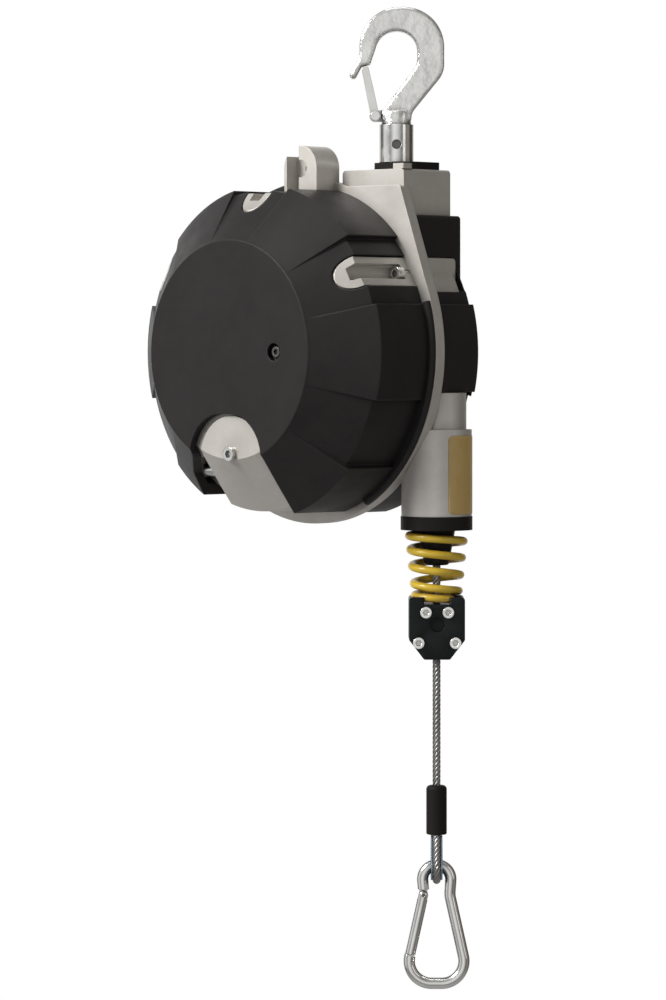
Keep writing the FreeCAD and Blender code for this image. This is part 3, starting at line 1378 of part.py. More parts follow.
def build_load_end():
    rope = size.rope_radius
    ferrule_top = SLEEVE_TOP - size.ferrule_sink
    ferrule_length = size.sleeve_cover_length - size.ferrule_sink - size.eye_sink
    x, y, z = ROPE_PLACE
    finish(rod(rope, -CLAMP_TOP - size.rope_start), "rope_run", (x, y, z + CLAMP_TOP))
    finish(rod(rope, CLAMP_TOP - ferrule_top), "lower_rope", (x, y, z + ferrule_top))
    finish(rod(size.ferrule_radius, ferrule_length), "ferrule", (x, y, z + ferrule_top - ferrule_length))
    cover = new_body("ferrule_sleeve")
    sketch = new_sketch(cover, "XZ_Plane")
    outer = size.sleeve_cover_radius
    foot = SLEEVE_BOTTOM
    mouth = rope * 2 + 0.75
    bore = size.ferrule_radius + 0.1
    add_outline(sketch, [(mouth, foot), (outer, foot, 1), (outer, SLEEVE_TOP, 3),
                         (rope + 0.1, SLEEVE_TOP), (rope + 0.1, ferrule_top + 0.1), (bore, ferrule_top + 0.1),
                         (bore, foot + size.eye_sink), (mouth, foot + size.eye_sink)])
    turn(cover, "Revolution", sketch)
    doc.recompute()
    finish(cover, "ferrule_sleeve", ROPE_PLACE)

    # rope eye round a grooved thimble, in the plane square to the carabiner
    bend = float(size.thimble_inner_radius + size.thimble_sheet + rope)
    start_half = float(rope) + 0.05
    path = eye_path(bend, start_half, SLEEVE_BOTTOM + size.eye_sink - 1)
    section = Part.Wire(Part.makeCircle(float(rope), path.Vertexes[0].Point, path.Edges[0].tangentAt(0)))
    eye = path.makePipeShell([section], True, True)
    channel_section = Part.Wire(Part.makeCircle(float(rope) + 0.05, path.Vertexes[0].Point,
                                                path.Edges[0].tangentAt(0)))
    channel = path.makePipeShell([channel_section], True, True)
    half = float(size.thimble_width) / 2
    outer = eye_path(bend, start_half, SLEEVE_BOTTOM - 1)
    inner = eye_path(size.thimble_inner_radius, 0.6, SLEEVE_BOTTOM - 7)
    solids = []
    for wire in (outer, inner):
        ends = wire.Vertexes[0].Point, wire.Vertexes[-1].Point
        face = Part.Face(Part.Wire(wire.Edges + [Part.makeLine(ends[1], ends[0])]))
        slab = face.extrude(Vector(2 * half, 0, 0))
        slab.translate(Vector(-half, 0, 0))
        solids.append(slab)
    thimble = solids[0].cut(solids[1]).cut(channel)
    finish(shape_node("rope_eye", eye), "rope_eye", ROPE_PLACE, size.clamp_turn)
    finish(shape_node("thimble", thimble), "thimble", ROPE_PLACE, size.clamp_turn)


# ------------------------------------------------------------------ carabiner


def build_carabiner():
    # a pear-shaped snap hook whose top bow hangs in the thimble
    bar, small, large = size.carabiner_wire_radius, size.carabiner_top_radius, size.carabiner_bottom_radius
    waist, gate, gap = size.carabiner_waist, size.gate_radius, size.fit_gap
    top = EYE_Z - size.thimble_inner_radius + size.eye_clearance + 2 * bar
    high, low = top - bar, top - size.carabiner_length + bar
    pivot, foot = top - size.gate_drop, top - size.carabiner_length + size.gate_rise
    slope = (large - waist) / (pivot - foot)
    wide = large + slope * (foot - low)
    root = pivot + gate + gap

    body = new_body("carabiner_body")
    path = new_sketch(body, "XZ_Plane")
    add_outline(path, [(-waist, root), (-small, high, small * 0.95), (small, high, small * 0.95),
                       (waist, pivot, bar * 4), (wide, low, large * 0.84), (-wide, low, large * 0.84),
                       (-large, foot)], closed=False)
    section = new_sketch(body, "XY_Plane", root)
    add_circle(section, -waist, 0, bar)
    bend = body.newObject("PartDesign::AdditivePipe", "AdditivePipe")
    bend.Profile = section
    bend.Spine = (path, [])
    doc.recompute()
    # a flat tongue reaches into the gate's fork and carries its pin
    tongue = new_sketch(body, "XZ_Plane")
    reach = gate - 3 * gap
    add_outline(tongue, [(reach - waist, root + 1), (-waist - reach, root + 1),
                         (-waist - reach, pivot - reach, reach * 0.95), (reach - waist, pivot - reach, reach * 0.95)])
    extrude(body, "Pad", tongue, size.gate_tongue, midplane=True)
    doc.recompute()
    hole = new_sketch(body, "XZ_Plane")
    add_circle(hole, -waist, pivot, size.gate_pin_radius)
    extrude(body, "Pocket", hole, bar * 3, midplane=True)
    doc.recompute()
    finish(body, "carabiner_body", ROPE_PLACE, size.clamp_turn)

    # the gate is drawn about its own axis, which leans from the pivot to the foot
    body = new_body("carabiner_gate")
    lean = math.degrees(math.atan(float(slope)))
    length = math.hypot(float(large - waist), float(pivot - foot)) - float(size.gate_end_gap)

    def gate_sketch():
        sketch = new_sketch(body, "XZ_Plane")
        sketch.AttachmentOffset = Placement(Vector(), Rotation(Vector(0, 0, -1), lean))
        bind(sketch, "AttachmentOffset.Base.x", -waist)
        bind(sketch, "AttachmentOffset.Base.y", pivot)
        return sketch

    profile = gate_sketch()
    add_outline(profile, [(0, gate), (gate, gate, gate * 0.98), (gate, -length, 0.5), (0, -length)])
    turn(body, "Revolution", profile)
    doc.recompute()
    slot = gate_sketch()
    add_outline(slot, [(-2 * gate, -(reach + gap)), (2 * gate, -(reach + gap)), (2 * gate, 2 * gate),
                       (-2 * gate, 2 * gate)])
    extrude(body, "Pocket", slot, size.gate_tongue + 2 * gap, midplane=True)
    hole = gate_sketch()
    add_circle(hole, 0, 0, size.gate_pin_radius + size.running_gap)
    extrude(body, "Pocket", hole, bar * 3, midplane=True)
    doc.recompute()
    finish(body, "carabiner_gate", ROPE_PLACE, size.clamp_turn)

    pin = new_body("gate_pin")
    circle = new_sketch(pin, "XZ_Plane")
    add_circle(circle, -waist, pivot, size.gate_pin_radius)
    extrude(pin, "Pad", circle, 2 * gate - gap, midplane=True)
    doc.recompute()
    finish(pin, "gate_pin", ROPE_PLACE, size.clamp_turn)


# ---------------------------------------------------------------------- build


BUILDERS = [build_front_casing, build_rear_casing, build_front_cover, build_rear_cover, build_screws, build_drum,
            build_drum_parts, build_worm_gear, build_hook, build_latch, build_swivel, build_outlet, build_clamp,
            build_load_end, build_carabiner]
for build in BUILDERS:
    build()
finish(shape_node("bumper_spring", bumper_shape()), "bumper_spring", ROPE_PLACE)
doc.recompute()

broken = [item.Label for item in doc.Objects if "Invalid" in item.State or "Error" in item.State]
broken += [item.Label for item in FINISHED if item.Shape.isNull() or not item.Shape.isValid()]
if broken:
    raise RuntimeError(f"failed objects: {broken}")
os.makedirs("parts", exist_ok=True)
for item in FINISHED:
    item.Shape.exportStep(f"parts/{item.Label}.step")
print(f"{len(FINISHED)} sub-parts written")
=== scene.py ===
import json
import math

import bmesh
import bpy
from mathutils import Matrix, Vector


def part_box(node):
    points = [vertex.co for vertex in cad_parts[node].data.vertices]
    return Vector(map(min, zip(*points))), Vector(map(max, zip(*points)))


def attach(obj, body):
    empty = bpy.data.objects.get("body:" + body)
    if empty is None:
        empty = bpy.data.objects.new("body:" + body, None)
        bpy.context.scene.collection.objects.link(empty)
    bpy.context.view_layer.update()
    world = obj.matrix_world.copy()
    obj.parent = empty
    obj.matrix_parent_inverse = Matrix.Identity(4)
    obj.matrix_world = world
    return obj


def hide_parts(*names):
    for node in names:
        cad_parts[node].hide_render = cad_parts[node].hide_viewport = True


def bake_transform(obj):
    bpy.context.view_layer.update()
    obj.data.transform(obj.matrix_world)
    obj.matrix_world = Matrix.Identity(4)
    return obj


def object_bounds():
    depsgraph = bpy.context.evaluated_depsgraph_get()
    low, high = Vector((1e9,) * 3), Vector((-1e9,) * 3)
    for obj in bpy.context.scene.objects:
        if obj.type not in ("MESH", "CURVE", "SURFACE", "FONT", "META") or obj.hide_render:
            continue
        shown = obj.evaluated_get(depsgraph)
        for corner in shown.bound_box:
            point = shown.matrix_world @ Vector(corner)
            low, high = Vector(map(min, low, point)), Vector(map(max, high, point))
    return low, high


# A spring tool balancer hanging in a white studio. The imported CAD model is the
# frame: its nodes keep their solids and get materials. The rope and its eye, the
# bumper spring, the clamp's seat, the film and the cover's lip are built here.

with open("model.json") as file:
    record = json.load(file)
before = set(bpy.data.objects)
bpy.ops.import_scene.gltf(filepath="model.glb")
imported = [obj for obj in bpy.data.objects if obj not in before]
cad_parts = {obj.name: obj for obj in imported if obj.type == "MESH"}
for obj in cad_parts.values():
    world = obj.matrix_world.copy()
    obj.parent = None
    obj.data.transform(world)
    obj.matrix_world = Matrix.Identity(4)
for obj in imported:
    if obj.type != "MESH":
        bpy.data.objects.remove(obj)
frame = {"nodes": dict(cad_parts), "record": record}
cad_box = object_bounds()
nodes = frame["nodes"]
scene = bpy.context.scene

DRUM = Vector((-0.060, -0.025, -0.2385))       # where the drum axis crosses the casing's split
ROPE = Vector((0.041, 0.0, -0.2385))           # rope axis, at the drum axis's height
TURN = math.radians(44.6)                      # the photograph's view, about the vertical
SIDE = Vector((math.cos(TURN), math.sin(TURN), 0))
TOWARDS = Vector((math.sin(TURN), -math.cos(TURN), 0))
UP = Vector((0, 0, 1))

EDGE_ROUND = 0.0007    # the small rounding that every made edge has
EDGE_SAMPLES = 6
SHADE_SAMPLES = 4


def add_object(name, data):
    """Puts an object with that data in the scene."""
    item = bpy.data.objects.new(name, data)
    scene.collection.objects.link(item)
    return item


def mesh_data(name, mesh):
    """Turns a bmesh into mesh data and frees it."""
    data = bpy.data.meshes.new(name)
    mesh.to_mesh(data)
    mesh.free()
    return data


# ------------------------------------------------------------------ materials


class Shader:
    """A Principled material and the short calls that wire its nodes."""

    def __init__(self, name, colour, metallic=0.0, roughness=0.5, edge=EDGE_ROUND, **inputs):
        self.material = bpy.data.materials.new(name)
        self.material.use_nodes = True
        self.tree = self.material.node_tree
        self.main = self.tree.nodes["Principled BSDF"]
        self.colour = (*colour, 1)
        self.main.inputs["Base Color"].default_value = self.colour
        self.main.inputs["Metallic"].default_value = metallic
        self.main.inputs["Roughness"].default_value = roughness
        for key, value in inputs.items():
            self.main.inputs[key.replace("_", " ")].default_value = value
        self.place = self.tree.nodes.new("ShaderNodeTexCoord").outputs["Object"]
        if edge:
            self.edge = self.node("ShaderNodeBevel", Radius=edge)
            self.edge.samples = EDGE_SAMPLES
            self.link(self.edge.outputs[0], self.main.inputs["Normal"])

    def node(self, kind, **inputs):
        made = self.tree.nodes.new(kind)
        for key, value in inputs.items():
            made.inputs[key].default_value = value
        return made

    def link(self, output, socket):
        self.tree.links.new(output, socket)

    def noise(self, scale, detail, roughness=0.6, stretch=(1, 1, 1)):
        mapping = self.node("ShaderNodeMapping", Scale=stretch)
        self.link(self.place, mapping.inputs["Vector"])
        noise = self.node("ShaderNodeTexNoise", Scale=scale, Detail=detail, Roughness=roughness)
        self.link(mapping.outputs[0], noise.inputs["Vector"])
        return noise.outputs["Fac"]

    def ramp(self, factor, low, high):
        ranged = self.node("ShaderNodeMapRange")
        ranged.inputs["From Min"].default_value = low[0]
        ranged.inputs["From Max"].default_value = high[0]
        ranged.inputs["To Min"].default_value = low[1]
        ranged.inputs["To Max"].default_value = high[1]
        self.link(factor, ranged.inputs["Value"])
        return ranged.outputs[0]

    def blend(self, factor, colour):
        """Mixes another colour into the base colour by a factor."""
        mix = self.node("ShaderNodeMix")
        mix.data_type = "RGBA"
        source = self.main.inputs["Base Color"]
        if source.is_linked:
            self.link(source.links[0].from_socket, mix.inputs["A"])
        else:
            mix.inputs["A"].default_value = self.colour
        mix.inputs["B"].default_value = (*colour, 1)
        self.link(factor, mix.inputs["Factor"])
        self.link(mix.outputs["Result"], source)

    def mottle(self, factor, colour, amount):
        """Clouds the surface with a second colour."""
        self.blend(self.ramp(factor, (0.35, 0.0), (0.65, amount)), colour)

    def painted_corner_shade(self, colour, reach=0.012, amount=0.8):
        """Paints shade into corners and recesses, darkening the colour by ambient occlusion."""
        shade = self.node("ShaderNodeAmbientOcclusion", Distance=reach)
        shade.samples = SHADE_SAMPLES
        self.blend(self.ramp(shade.outputs["AO"], (0.35, amount), (0.95, 0.0)), colour)

    def edge_wear_and_highlight(self, colour, amount):
        """Lightens the rounded edges: a painted highlight where they catch the light, and wear where
        handling has polished them.
        """
        plain = self.node("ShaderNodeNewGeometry")
        turned = self.node("ShaderNodeVectorMath")
        turned.operation = "DOT_PRODUCT"
        self.link(self.edge.outputs[0], turned.inputs[0])
        self.link(plain.outputs["Normal"], turned.inputs[1])
        self.blend(self.ramp(turned.outputs["Value"], (0.995, 0.0), (0.90, amount)), colour)

    def rough(self, factor, low, high):
        self.link(self.ramp(factor, (0.3, low), (0.7, high)), self.main.inputs["Roughness"])

    def bump(self, factor, strength, distance):
        bump = self.node("ShaderNodeBump", Strength=strength, Distance=distance)
        self.link(factor, bump.inputs["Height"])
        normal = self.main.inputs["Normal"]
        if normal.is_linked:
            self.link(normal.links[0].from_socket, bump.inputs["Normal"])
        self.link(bump.outputs[0], normal)


def plastic(name, colour, roughness, grain, worn=None, edge=EDGE_ROUND, **inputs):
    made = Shader(name, colour, roughness=roughness, edge=edge, **inputs)
    made.mottle(made.noise(22, 5), [c * 1.3 + 0.002 for c in colour], 0.6)
    if worn:
        made.mottle(made.noise(60, 8, 0.75), worn, 0.2)
    # painted shade: corners and recesses darken to a third of the plastic's colour
    made.painted_corner_shade([c * 0.35 for c in colour])
    # painted highlight along the rounded edges, mixed with some wear
    made.edge_wear_and_highlight([c * 3.0 for c in colour], 0.7)
    made.rough(made.noise(35, 6), roughness - 0.07, roughness + 0.07)
    made.bump(made.noise(grain, 3), 0.3, 0.0003)
    return made.material


def casting(name, colour, roughness, stain_and_shade):
    made = Shader(name, colour, metallic=0.55, roughness=roughness)
    made.mottle(made.noise(28, 6), stain_and_shade, 0.5)
    made.mottle(made.noise(240, 4, 0.8), [c * 0.86 for c in colour], 0.45)
    # painted shade: corners and recesses darken towards a deeper tone of the stain colour
    made.painted_corner_shade([c * 0.4 for c in stain_and_shade], 0.009, 0.5)
    made.rough(made.noise(45, 6), roughness - 0.08, roughness + 0.1)
    made.bump(made.noise(1500, 3), 0.25, 0.0003)
    made.bump(made.noise(140, 4), 0.12, 0.0006)
    return made.material


def steel(name, colour, roughness, stain_and_shade, brushed=(1, 1, 1)):
    made = Shader(name, colour, metallic=1.0, roughness=roughness)
    made.mottle(made.noise(55, 6), stain_and_shade, 0.5)
    # painted shade: corners and recesses darken towards a deeper tone of the stain colour
    made.painted_corner_shade([c * 0.35 for c in stain_and_shade], 0.006)
    made.rough(made.noise(160, 5, 0.7, brushed), max(0.04, roughness - 0.07), roughness + 0.1)
    made.bump(made.noise(700, 3, 0.6, brushed), 0.08, 0.0002)
    return made.material


FINISHES = {
    "black_cover": plastic("cover_plastic", (0.0205, 0.0190, 0.0195), 0.46, 1100, (0.05, 0.043, 0.037),
                           0.0016, Specular_IOR_Level=0.17),
    "black_guide": plastic("guide_plastic", (0.016, 0.013, 0.012), 0.42, 1500, Specular_IOR_Level=0.2),
    "black_clamp": plastic("clamp_plastic", (0.007, 0.0088, 0.0095), 0.33, 1800, Specular_IOR_Level=0.18),
    "black_rubber": plastic("rubber", (0.010, 0.008, 0.007), 0.55, 1300, Specular_IOR_Level=0.2),
    "cast_aluminium": casting("cast_aluminium", (0.66, 0.635, 0.60), 0.46, (0.52, 0.49, 0.44)),
    "zinc_steel": steel("zinc_plate", (0.80, 0.80, 0.785), 0.17, (0.62, 0.62, 0.60)),
    "dark_steel": steel("dark_steel", (0.17, 0.17, 0.165), 0.34, (0.11, 0.105, 0.10)),
    "bearing_steel": steel("bearing_steel", (0.60, 0.61, 0.62), 0.16, (0.50, 0.51, 0.52)),
    "spring_steel": steel("spring_strip", (0.24, 0.26, 0.31), 0.28, (0.17, 0.17, 0.2), (1, 9, 1)),
    "steel_rope": steel("rope_wire", (0.40, 0.395, 0.39), 0.30, (0.20, 0.195, 0.19)),
    "blue_zinc": steel("thimble_zinc", (0.36, 0.46, 0.56), 0.26, (0.28, 0.36, 0.46)),
    "bronze": steel("bronze", (0.58, 0.42, 0.20), 0.30, (0.42, 0.29, 0.14)),
}


def yellow_coat():
    made = Shader("yellow_coat", (0.86, 0.61, 0.045), roughness=0.30)
    made.main.inputs["Coat Weight"].default_value = 0.25
    made.mottle(made.noise(70, 5), (0.72, 0.47, 0.03), 0.6)
    # painted shade: the coat's corners and recesses darken towards deep brown
    made.painted_corner_shade((0.20, 0.09, 0.012), 0.010, 0.9)
    made.rough(made.noise(120, 4), 0.24, 0.40)
    made.bump(made.noise(420, 3), 0.10, 0.0003)
    return made.material


def forged_zinc():
    made = Shader("forged_zinc", (0.80, 0.80, 0.785), metallic=0.95, roughness=0.2, edge=0.0036)
    made.mottle(made.noise(38, 6), (0.56, 0.56, 0.545), 0.75)
    made.mottle(made.noise(160, 5, 0.75), (0.88, 0.88, 0.87), 0.5)
    # painted shade: the hook's corners and recesses darken towards dark grey
    made.painted_corner_shade((0.16, 0.155, 0.145), 0.006)
    made.rough(made.noise(90, 5), 0.14, 0.34)
    made.bump(made.noise(62, 3), 0.55, 0.0028)
    made.bump(made.noise(900, 3), 0.2, 0.0003)
    return made.material


def plain_film():
    made = Shader("patch_film", (0.66, 0.455, 0.155), roughness=0.42, edge=0)
    made.mottle(made.noise(40, 5), (0.58, 0.40, 0.13), 0.5)
    made.mottle(made.noise(260, 5, 0.7), (0.74, 0.54, 0.22), 0.3)
    made.rough(made.noise(90, 4), 0.34, 0.5)
    made.bump(made.noise(300, 3), 0.08, 0.0003)
    return made.material


FINISHES["yellow_spring"] = yellow_coat()
OWN_FINISHES = {"top_hook": forged_zinc(), "hook_latch": FINISHES["zinc_steel"]}
slots = {row["node"]: row["material_slot"] for row in frame["record"]["subparts"]}
for name, item in nodes.items():
    item.data.materials.clear()
    item.data.materials.append(OWN_FINISHES.get(name, FINISHES[slots[name]]))


# ----------------------------------------------------------------------- rope

LINE_STEPS = 24        # points read along each span of a NURBS spline


def line_points(name, points):
    """Points read from a NURBS spline with those control points."""
    curve = bpy.data.curves.new(name, "CURVE")
    curve.dimensions = "3D"
    spline = curve.splines.new("NURBS")
    spline.points.add(len(points) - 1)
    for point, place in zip(spline.points, points):
        point.co = (*place, 1)
    spline.order_u = 3
    spline.use_endpoint_u = True
    spline.resolution_u = LINE_STEPS
    item = add_object(name, curve)
    bpy.context.view_layer.update()
    mesh = bpy.data.meshes.new_from_object(item.evaluated_get(bpy.context.evaluated_depsgraph_get()))
    found = [vertex.co.copy() for vertex in mesh.vertices]
    bpy.data.objects.remove(item)
    bpy.data.meshes.remove(mesh)
    bpy.data.curves.remove(curve)
    return found


def even(points, step):
    """The same line with its points a step apart."""
    found, rest = [points[0]], 0.0
    for first, last in zip(points, points[1:]):
        length = (last - first).length
        at = step - rest
        while at <= length:
            found.append(first.lerp(last, at / length))
            at += step
        rest = length - (at - step)
    if (found[-1] - points[-1]).length > step * 0.2:
        found.append(points[-1])
    return found


def side_frames(points):
    """Two vectors across the line at each point, turned as little as possible."""
    frames, side = [], None
    for i, point in enumerate(points):
        ahead = (points[min(i + 1, len(points) - 1)] - points[max(i - 1, 0)]).normalized()
        if side is None:
            side = ahead.orthogonal().normalized()
        side = (side - ahead * side.dot(ahead)).normalized()
        frames.append((side, ahead.cross(side)))
    return frames


def tube(mesh, points, radius, around):
    """Adds a round tube with closed ends to a bmesh."""
    rings = []
    for point, (side, third) in zip(points, side_frames(points)):
        ring = []
        for i in range(around):
            angle = math.tau * i / around
            ring.append(mesh.verts.new(point + (side * math.cos(angle) + third * math.sin(angle)) * radius))
        rings.append(ring)
    for first, last in zip(rings, rings[1:]):
        for i in range(around):
            j = (i + 1) % around
            mesh.faces.new((first[i], first[j], last[j], last[i]))
    mesh.faces.new(list(reversed(rings[0])))
    mesh.faces.new(rings[-1])


def new_piece(name, mesh, finish, smooth=True):
    """Makes a visible piece from a bmesh."""
    bmesh.ops.recalc_face_normals(mesh, faces=mesh.faces)
    data = mesh_data(name, mesh)
    if smooth:
        data.polygons.foreach_set("use_smooth", [True] * len(data.polygons))
    item = add_object(name, data)
    data.materials.append(finish)
    return item


STRANDS = 6
STRAND_SHARE = 0.36    # a strand's radius as a share of the rope's, and the core's
CORE_SHARE = 0.42
STRAND_SIDES = 10
CORE_SIDES = 8
LAY = 0.021            # length of rope in which a strand goes once round
LAY_STEPS = 16


def wire_rope(name, points, radius):
    """Six strands laid round a core along a line."""
    mesh = bmesh.new()
    strand = radius * STRAND_SHARE
    centre = even(points, LAY / LAY_STEPS)
    frames = side_frames(centre)
    reach = radius - strand
    walked, lengths = 0.0, [0.0]
    for first, last in zip(centre, centre[1:]):
        walked += (last - first).length
        lengths.append(walked)
    tube(mesh, centre, radius * CORE_SHARE, CORE_SIDES)
    for k in range(STRANDS):
        path = []
        for point, (side, third), length in zip(centre, frames, lengths):
            angle = math.tau * (k / STRANDS + length / LAY)
            path.append(point + (side * math.cos(angle) + third * math.sin(angle)) * reach)
        tube(mesh, path, strand, STRAND_SIDES)
    return new_piece(name, mesh, FINISHES["steel_rope"])


ROPE_RADIUS = 0.003
ROPE_SPANS = 9         # between the rope's control points
rope_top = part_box("rope_run")[1].z
rope_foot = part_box("lower_rope")[0].z
route = [Vector((ROPE.x, ROPE.y, rope_top + (rope_foot - rope_top) * i / ROPE_SPANS))
         for i in range(ROPE_SPANS + 1)]
rope_line = line_points("rope_line", route)
rope = wire_rope("rope", rope_line, ROPE_RADIUS)
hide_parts("rope_run", "lower_rope")
clamp_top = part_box("clamp_front")[1].z
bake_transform(rope)


# ------------------------------------------------------- eye, spring and clamp

EYE_BEND = 0.010       # the eye's radius round the thimble
EYE_START = 0.00305    # how far its two legs start from the rope's axis
EYE_STEPS = 9


def eye_point(across, z):
    """A point of the eye, which lies across the load end's wide side."""
    return Vector((ROPE.x, ROPE.y, z)) - TOWARDS * across


def eye_route():
    """Control points of the rope's eye: down, round a half circle and back up."""
    low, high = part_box("rope_eye")
    top, middle = high.z, low.z + EYE_BEND + ROPE_RADIUS
    reach = math.hypot(EYE_START, top - middle)
    slope = math.atan2(top - middle, EYE_START) - math.acos(EYE_BEND / reach)
    step = (math.pi + 2 * slope) / EYE_STEPS
    outer = EYE_BEND / math.cos(step / 2)
    bend_start = (EYE_BEND * math.cos(slope), middle + EYE_BEND * math.sin(slope))
    legs = [(EYE_START, top), ((EYE_START + bend_start[0]) * 0.5, (top + bend_start[1]) * 0.5)]
    route = list(legs)
    for i in range(EYE_STEPS):
        angle = slope - step * (i + 0.5)
        route.append((outer * math.cos(angle), middle + outer * math.sin(angle)))
    route += [(-across, z) for across, z in reversed(legs)]
    return [eye_point(across, z) for across, z in route]


eye = wire_rope("eye_rope", line_points("eye_line", eye_route()), ROPE_RADIUS)
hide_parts("rope_eye")
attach(eye, "load_end")

SEAT_DEPTH = 0.0052    # the clamp's round seat, in which the spring's last coil lies
SEAT_RADIUS = 0.0195
SEAT_EDGE = 0.0009
CUTTER_SIDES = 96
COIL_WIRE = 0.003
COIL_SIDES = 20
COIL_RADIUS = 0.0205   # at the top, and what it loses on the way down
COIL_TAPER = 0.0047
COIL_START = math.radians(150)
COIL_STEPS = 36
COIL_LEVELLED = 8      # points to either side over which the slope is evened out
COIL_LIFT = 0.0002     # air between the last coil and its seat
# turns from the top, and how far the wire has come down by then
COIL_DROPS = ((0.0, 0.0), (0.55, 0.0030), (1.0, 0.0088), (2.0, 0.0205), (3.0, 0.0333), (3.6, 0.0405),
              (4.6, 0.0470))


def coil_line(top, foot):
    """The bumper spring's centre line: a cone with its last coil closed."""
    drops = [(turn, drop * (top - foot) / COIL_DROPS[-1][1]) for turn, drop in COIL_DROPS]
    points = []
    for i in range(int(drops[-1][0] * COIL_STEPS) + 1):
        at = i / COIL_STEPS
        first = max(row for row in drops[:-1] if row[0] <= at)
        last = drops[drops.index(first) + 1]
        share = (at - first[0]) / (last[0] - first[0])
        drop = first[1] + (last[1] - first[1]) * share
        radius = COIL_RADIUS - COIL_TAPER * min(1.0, drop / (top - foot))
        angle = math.tau * at + COIL_START
        x, y = ROPE.x + radius * math.cos(angle), ROPE.y + radius * math.sin(angle)
        points.append(Vector((x, y, top - drop)))
    levelled = [points[0]]
    for i in range(1, len(points) - 1):
        window = points[max(0, i - COIL_LEVELLED):i + COIL_LEVELLED + 1]
        level = sum(point.z for point in window) / len(window)
        levelled.append(Vector((points[i].x, points[i].y, level)))
    return levelled + [points[-1]]


spring_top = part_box("bumper_spring")[1].z
mesh = bmesh.new()
coil_foot = clamp_top - SEAT_DEPTH + COIL_WIRE + COIL_LIFT
tube(mesh, coil_line(spring_top - COIL_WIRE, coil_foot), COIL_WIRE, COIL_SIDES)
coil = new_piece("bumper_coil", mesh, FINISHES["yellow_spring"])
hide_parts("bumper_spring")
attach(coil, "housing")

WELD_DISTANCE = 0.00001
BEVEL_ANGLE = math.radians(35)
SHARP_ANGLE = math.radians(32)


def carved(name, node, cutter, width):
    """A copy of a CAD node with a form cut out of it and its edges rounded."""
    item = add_object(name, nodes[node].data.copy())
    weld = item.modifiers.new("weld", "WELD")
    weld.merge_threshold = WELD_DISTANCE
    cut = item.modifiers.new("cut", "BOOLEAN")
    cut.operation = "DIFFERENCE"
    cut.solver = "EXACT"
    cut.object = cutter
    bevel = item.modifiers.new("bevel", "BEVEL")
    bevel.width = width
    bevel.segments = 2
    bevel.limit_method = "ANGLE"
    bevel.angle_limit = BEVEL_ANGLE
    bpy.context.view_layer.update()
    made = bpy.data.meshes.new_from_object(item.evaluated_get(bpy.context.evaluated_depsgraph_get()))
    item.modifiers.clear()
    item.data = made
    made.shade_smooth()
    made.set_sharp_from_angle(angle=SHARP_ANGLE)
    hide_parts(node)
    return item


def cutter_cylinder(radius, depth, centre):
    """A round cutter, upright about its centre."""
    mesh = bmesh.new()
    bmesh.ops.create_cone(mesh, cap_ends=True, segments=CUTTER_SIDES, radius1=radius, radius2=radius,
                          depth=depth, matrix=Matrix.Translation(centre))
    return add_object("cutter", mesh_data("cutter", mesh))


seat = cutter_cylinder(SEAT_RADIUS, 2 * SEAT_DEPTH, Vector((ROPE.x, ROPE.y, clamp_top)))
clamps = [carved(node + "_body", node, seat, SEAT_EDGE) for node in ("clamp_front", "clamp_rear")]
for clamp in clamps:
    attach(clamp, "load_end")
bpy.data.objects.remove(seat)


# -------------------------------------------------------------- film and lip

FILM_RADIUS = 0.02612  # just outside the outlet's tube
FILM_SHEET = 0.0003
FILM_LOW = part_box("outlet_ring")[1].z + 0.002
FILM_HIGH = DRUM.z - 0.0615
FILM_CORNER = 0.003
FILM_MIDDLE = TURN - math.radians(34)
FILM_HALF_TURN = math.radians(37.5)
FILM_COLUMNS, FILM_ROWS = 28, 30


def film_mesh():
    """A bare film with rounded corners, bent round the right of the outlet's tube."""
    mesh = bmesh.new()
    columns, rows, tall = FILM_COLUMNS, FILM_ROWS, FILM_HIGH - FILM_LOW
    sheets = []
    for radius in (FILM_RADIUS, FILM_RADIUS + FILM_SHEET):
        sheet = []
        for row in range(rows + 1):
            height = min(row, rows - row) / rows * tall
            inset = FILM_CORNER - math.sqrt(FILM_CORNER ** 2 - max(0.0, FILM_CORNER - height) ** 2)
            reach = FILM_HALF_TURN - inset / FILM_RADIUS
            z = FILM_LOW + tall * row / rows
            line = []
            for i in range(columns + 1):
                angle = FILM_MIDDLE + reach * (2 * i / columns - 1)
                x, y = ROPE.x + radius * math.cos(angle), ROPE.y + radius * math.sin(angle)
                line.append(mesh.verts.new((x, y, z)))
            sheet.append(line)
        sheets.append(sheet)
    inner, outer = sheets
    for row in range(rows):
        for i in range(columns):
            mesh.faces.new((outer[row][i], outer[row][i + 1], outer[row + 1][i + 1], outer[row + 1][i]))
            mesh.faces.new((inner[row + 1][i], inner[row + 1][i + 1], inner[row][i + 1], inner[row][i]))
    border = ([(0, i) for i in range(columns)] + [(row, columns) for row in range(rows)]
              + [(rows, i) for i in range(columns, 0, -1)] + [(row, 0) for row in range(rows, 0, -1)])
    for (row, i), (next_row, next_i) in zip(border, border[1:] + border[:1]):
        mesh.faces.new((inner[row][i], inner[next_row][next_i], outer[next_row][next_i], outer[row][i]))
    return mesh


patch = new_piece("outlet_patch", film_mesh(), plain_film())
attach(patch, "housing")

# the lip's section as radius and depth about the drum axis, and its arcs in degrees,
# which leave out the corner plate with the lug, the window at the upper left and the arch
LIP_SECTION = ((0.1192, -0.00452), (0.1192, -0.0095), (0.1264, -0.0087), (0.1279, -0.0074),
               (0.1279, -0.00452))
LIP_ARCS = ((-62, 17), (97, 142), (158, 242))
LIP_STEP = 2


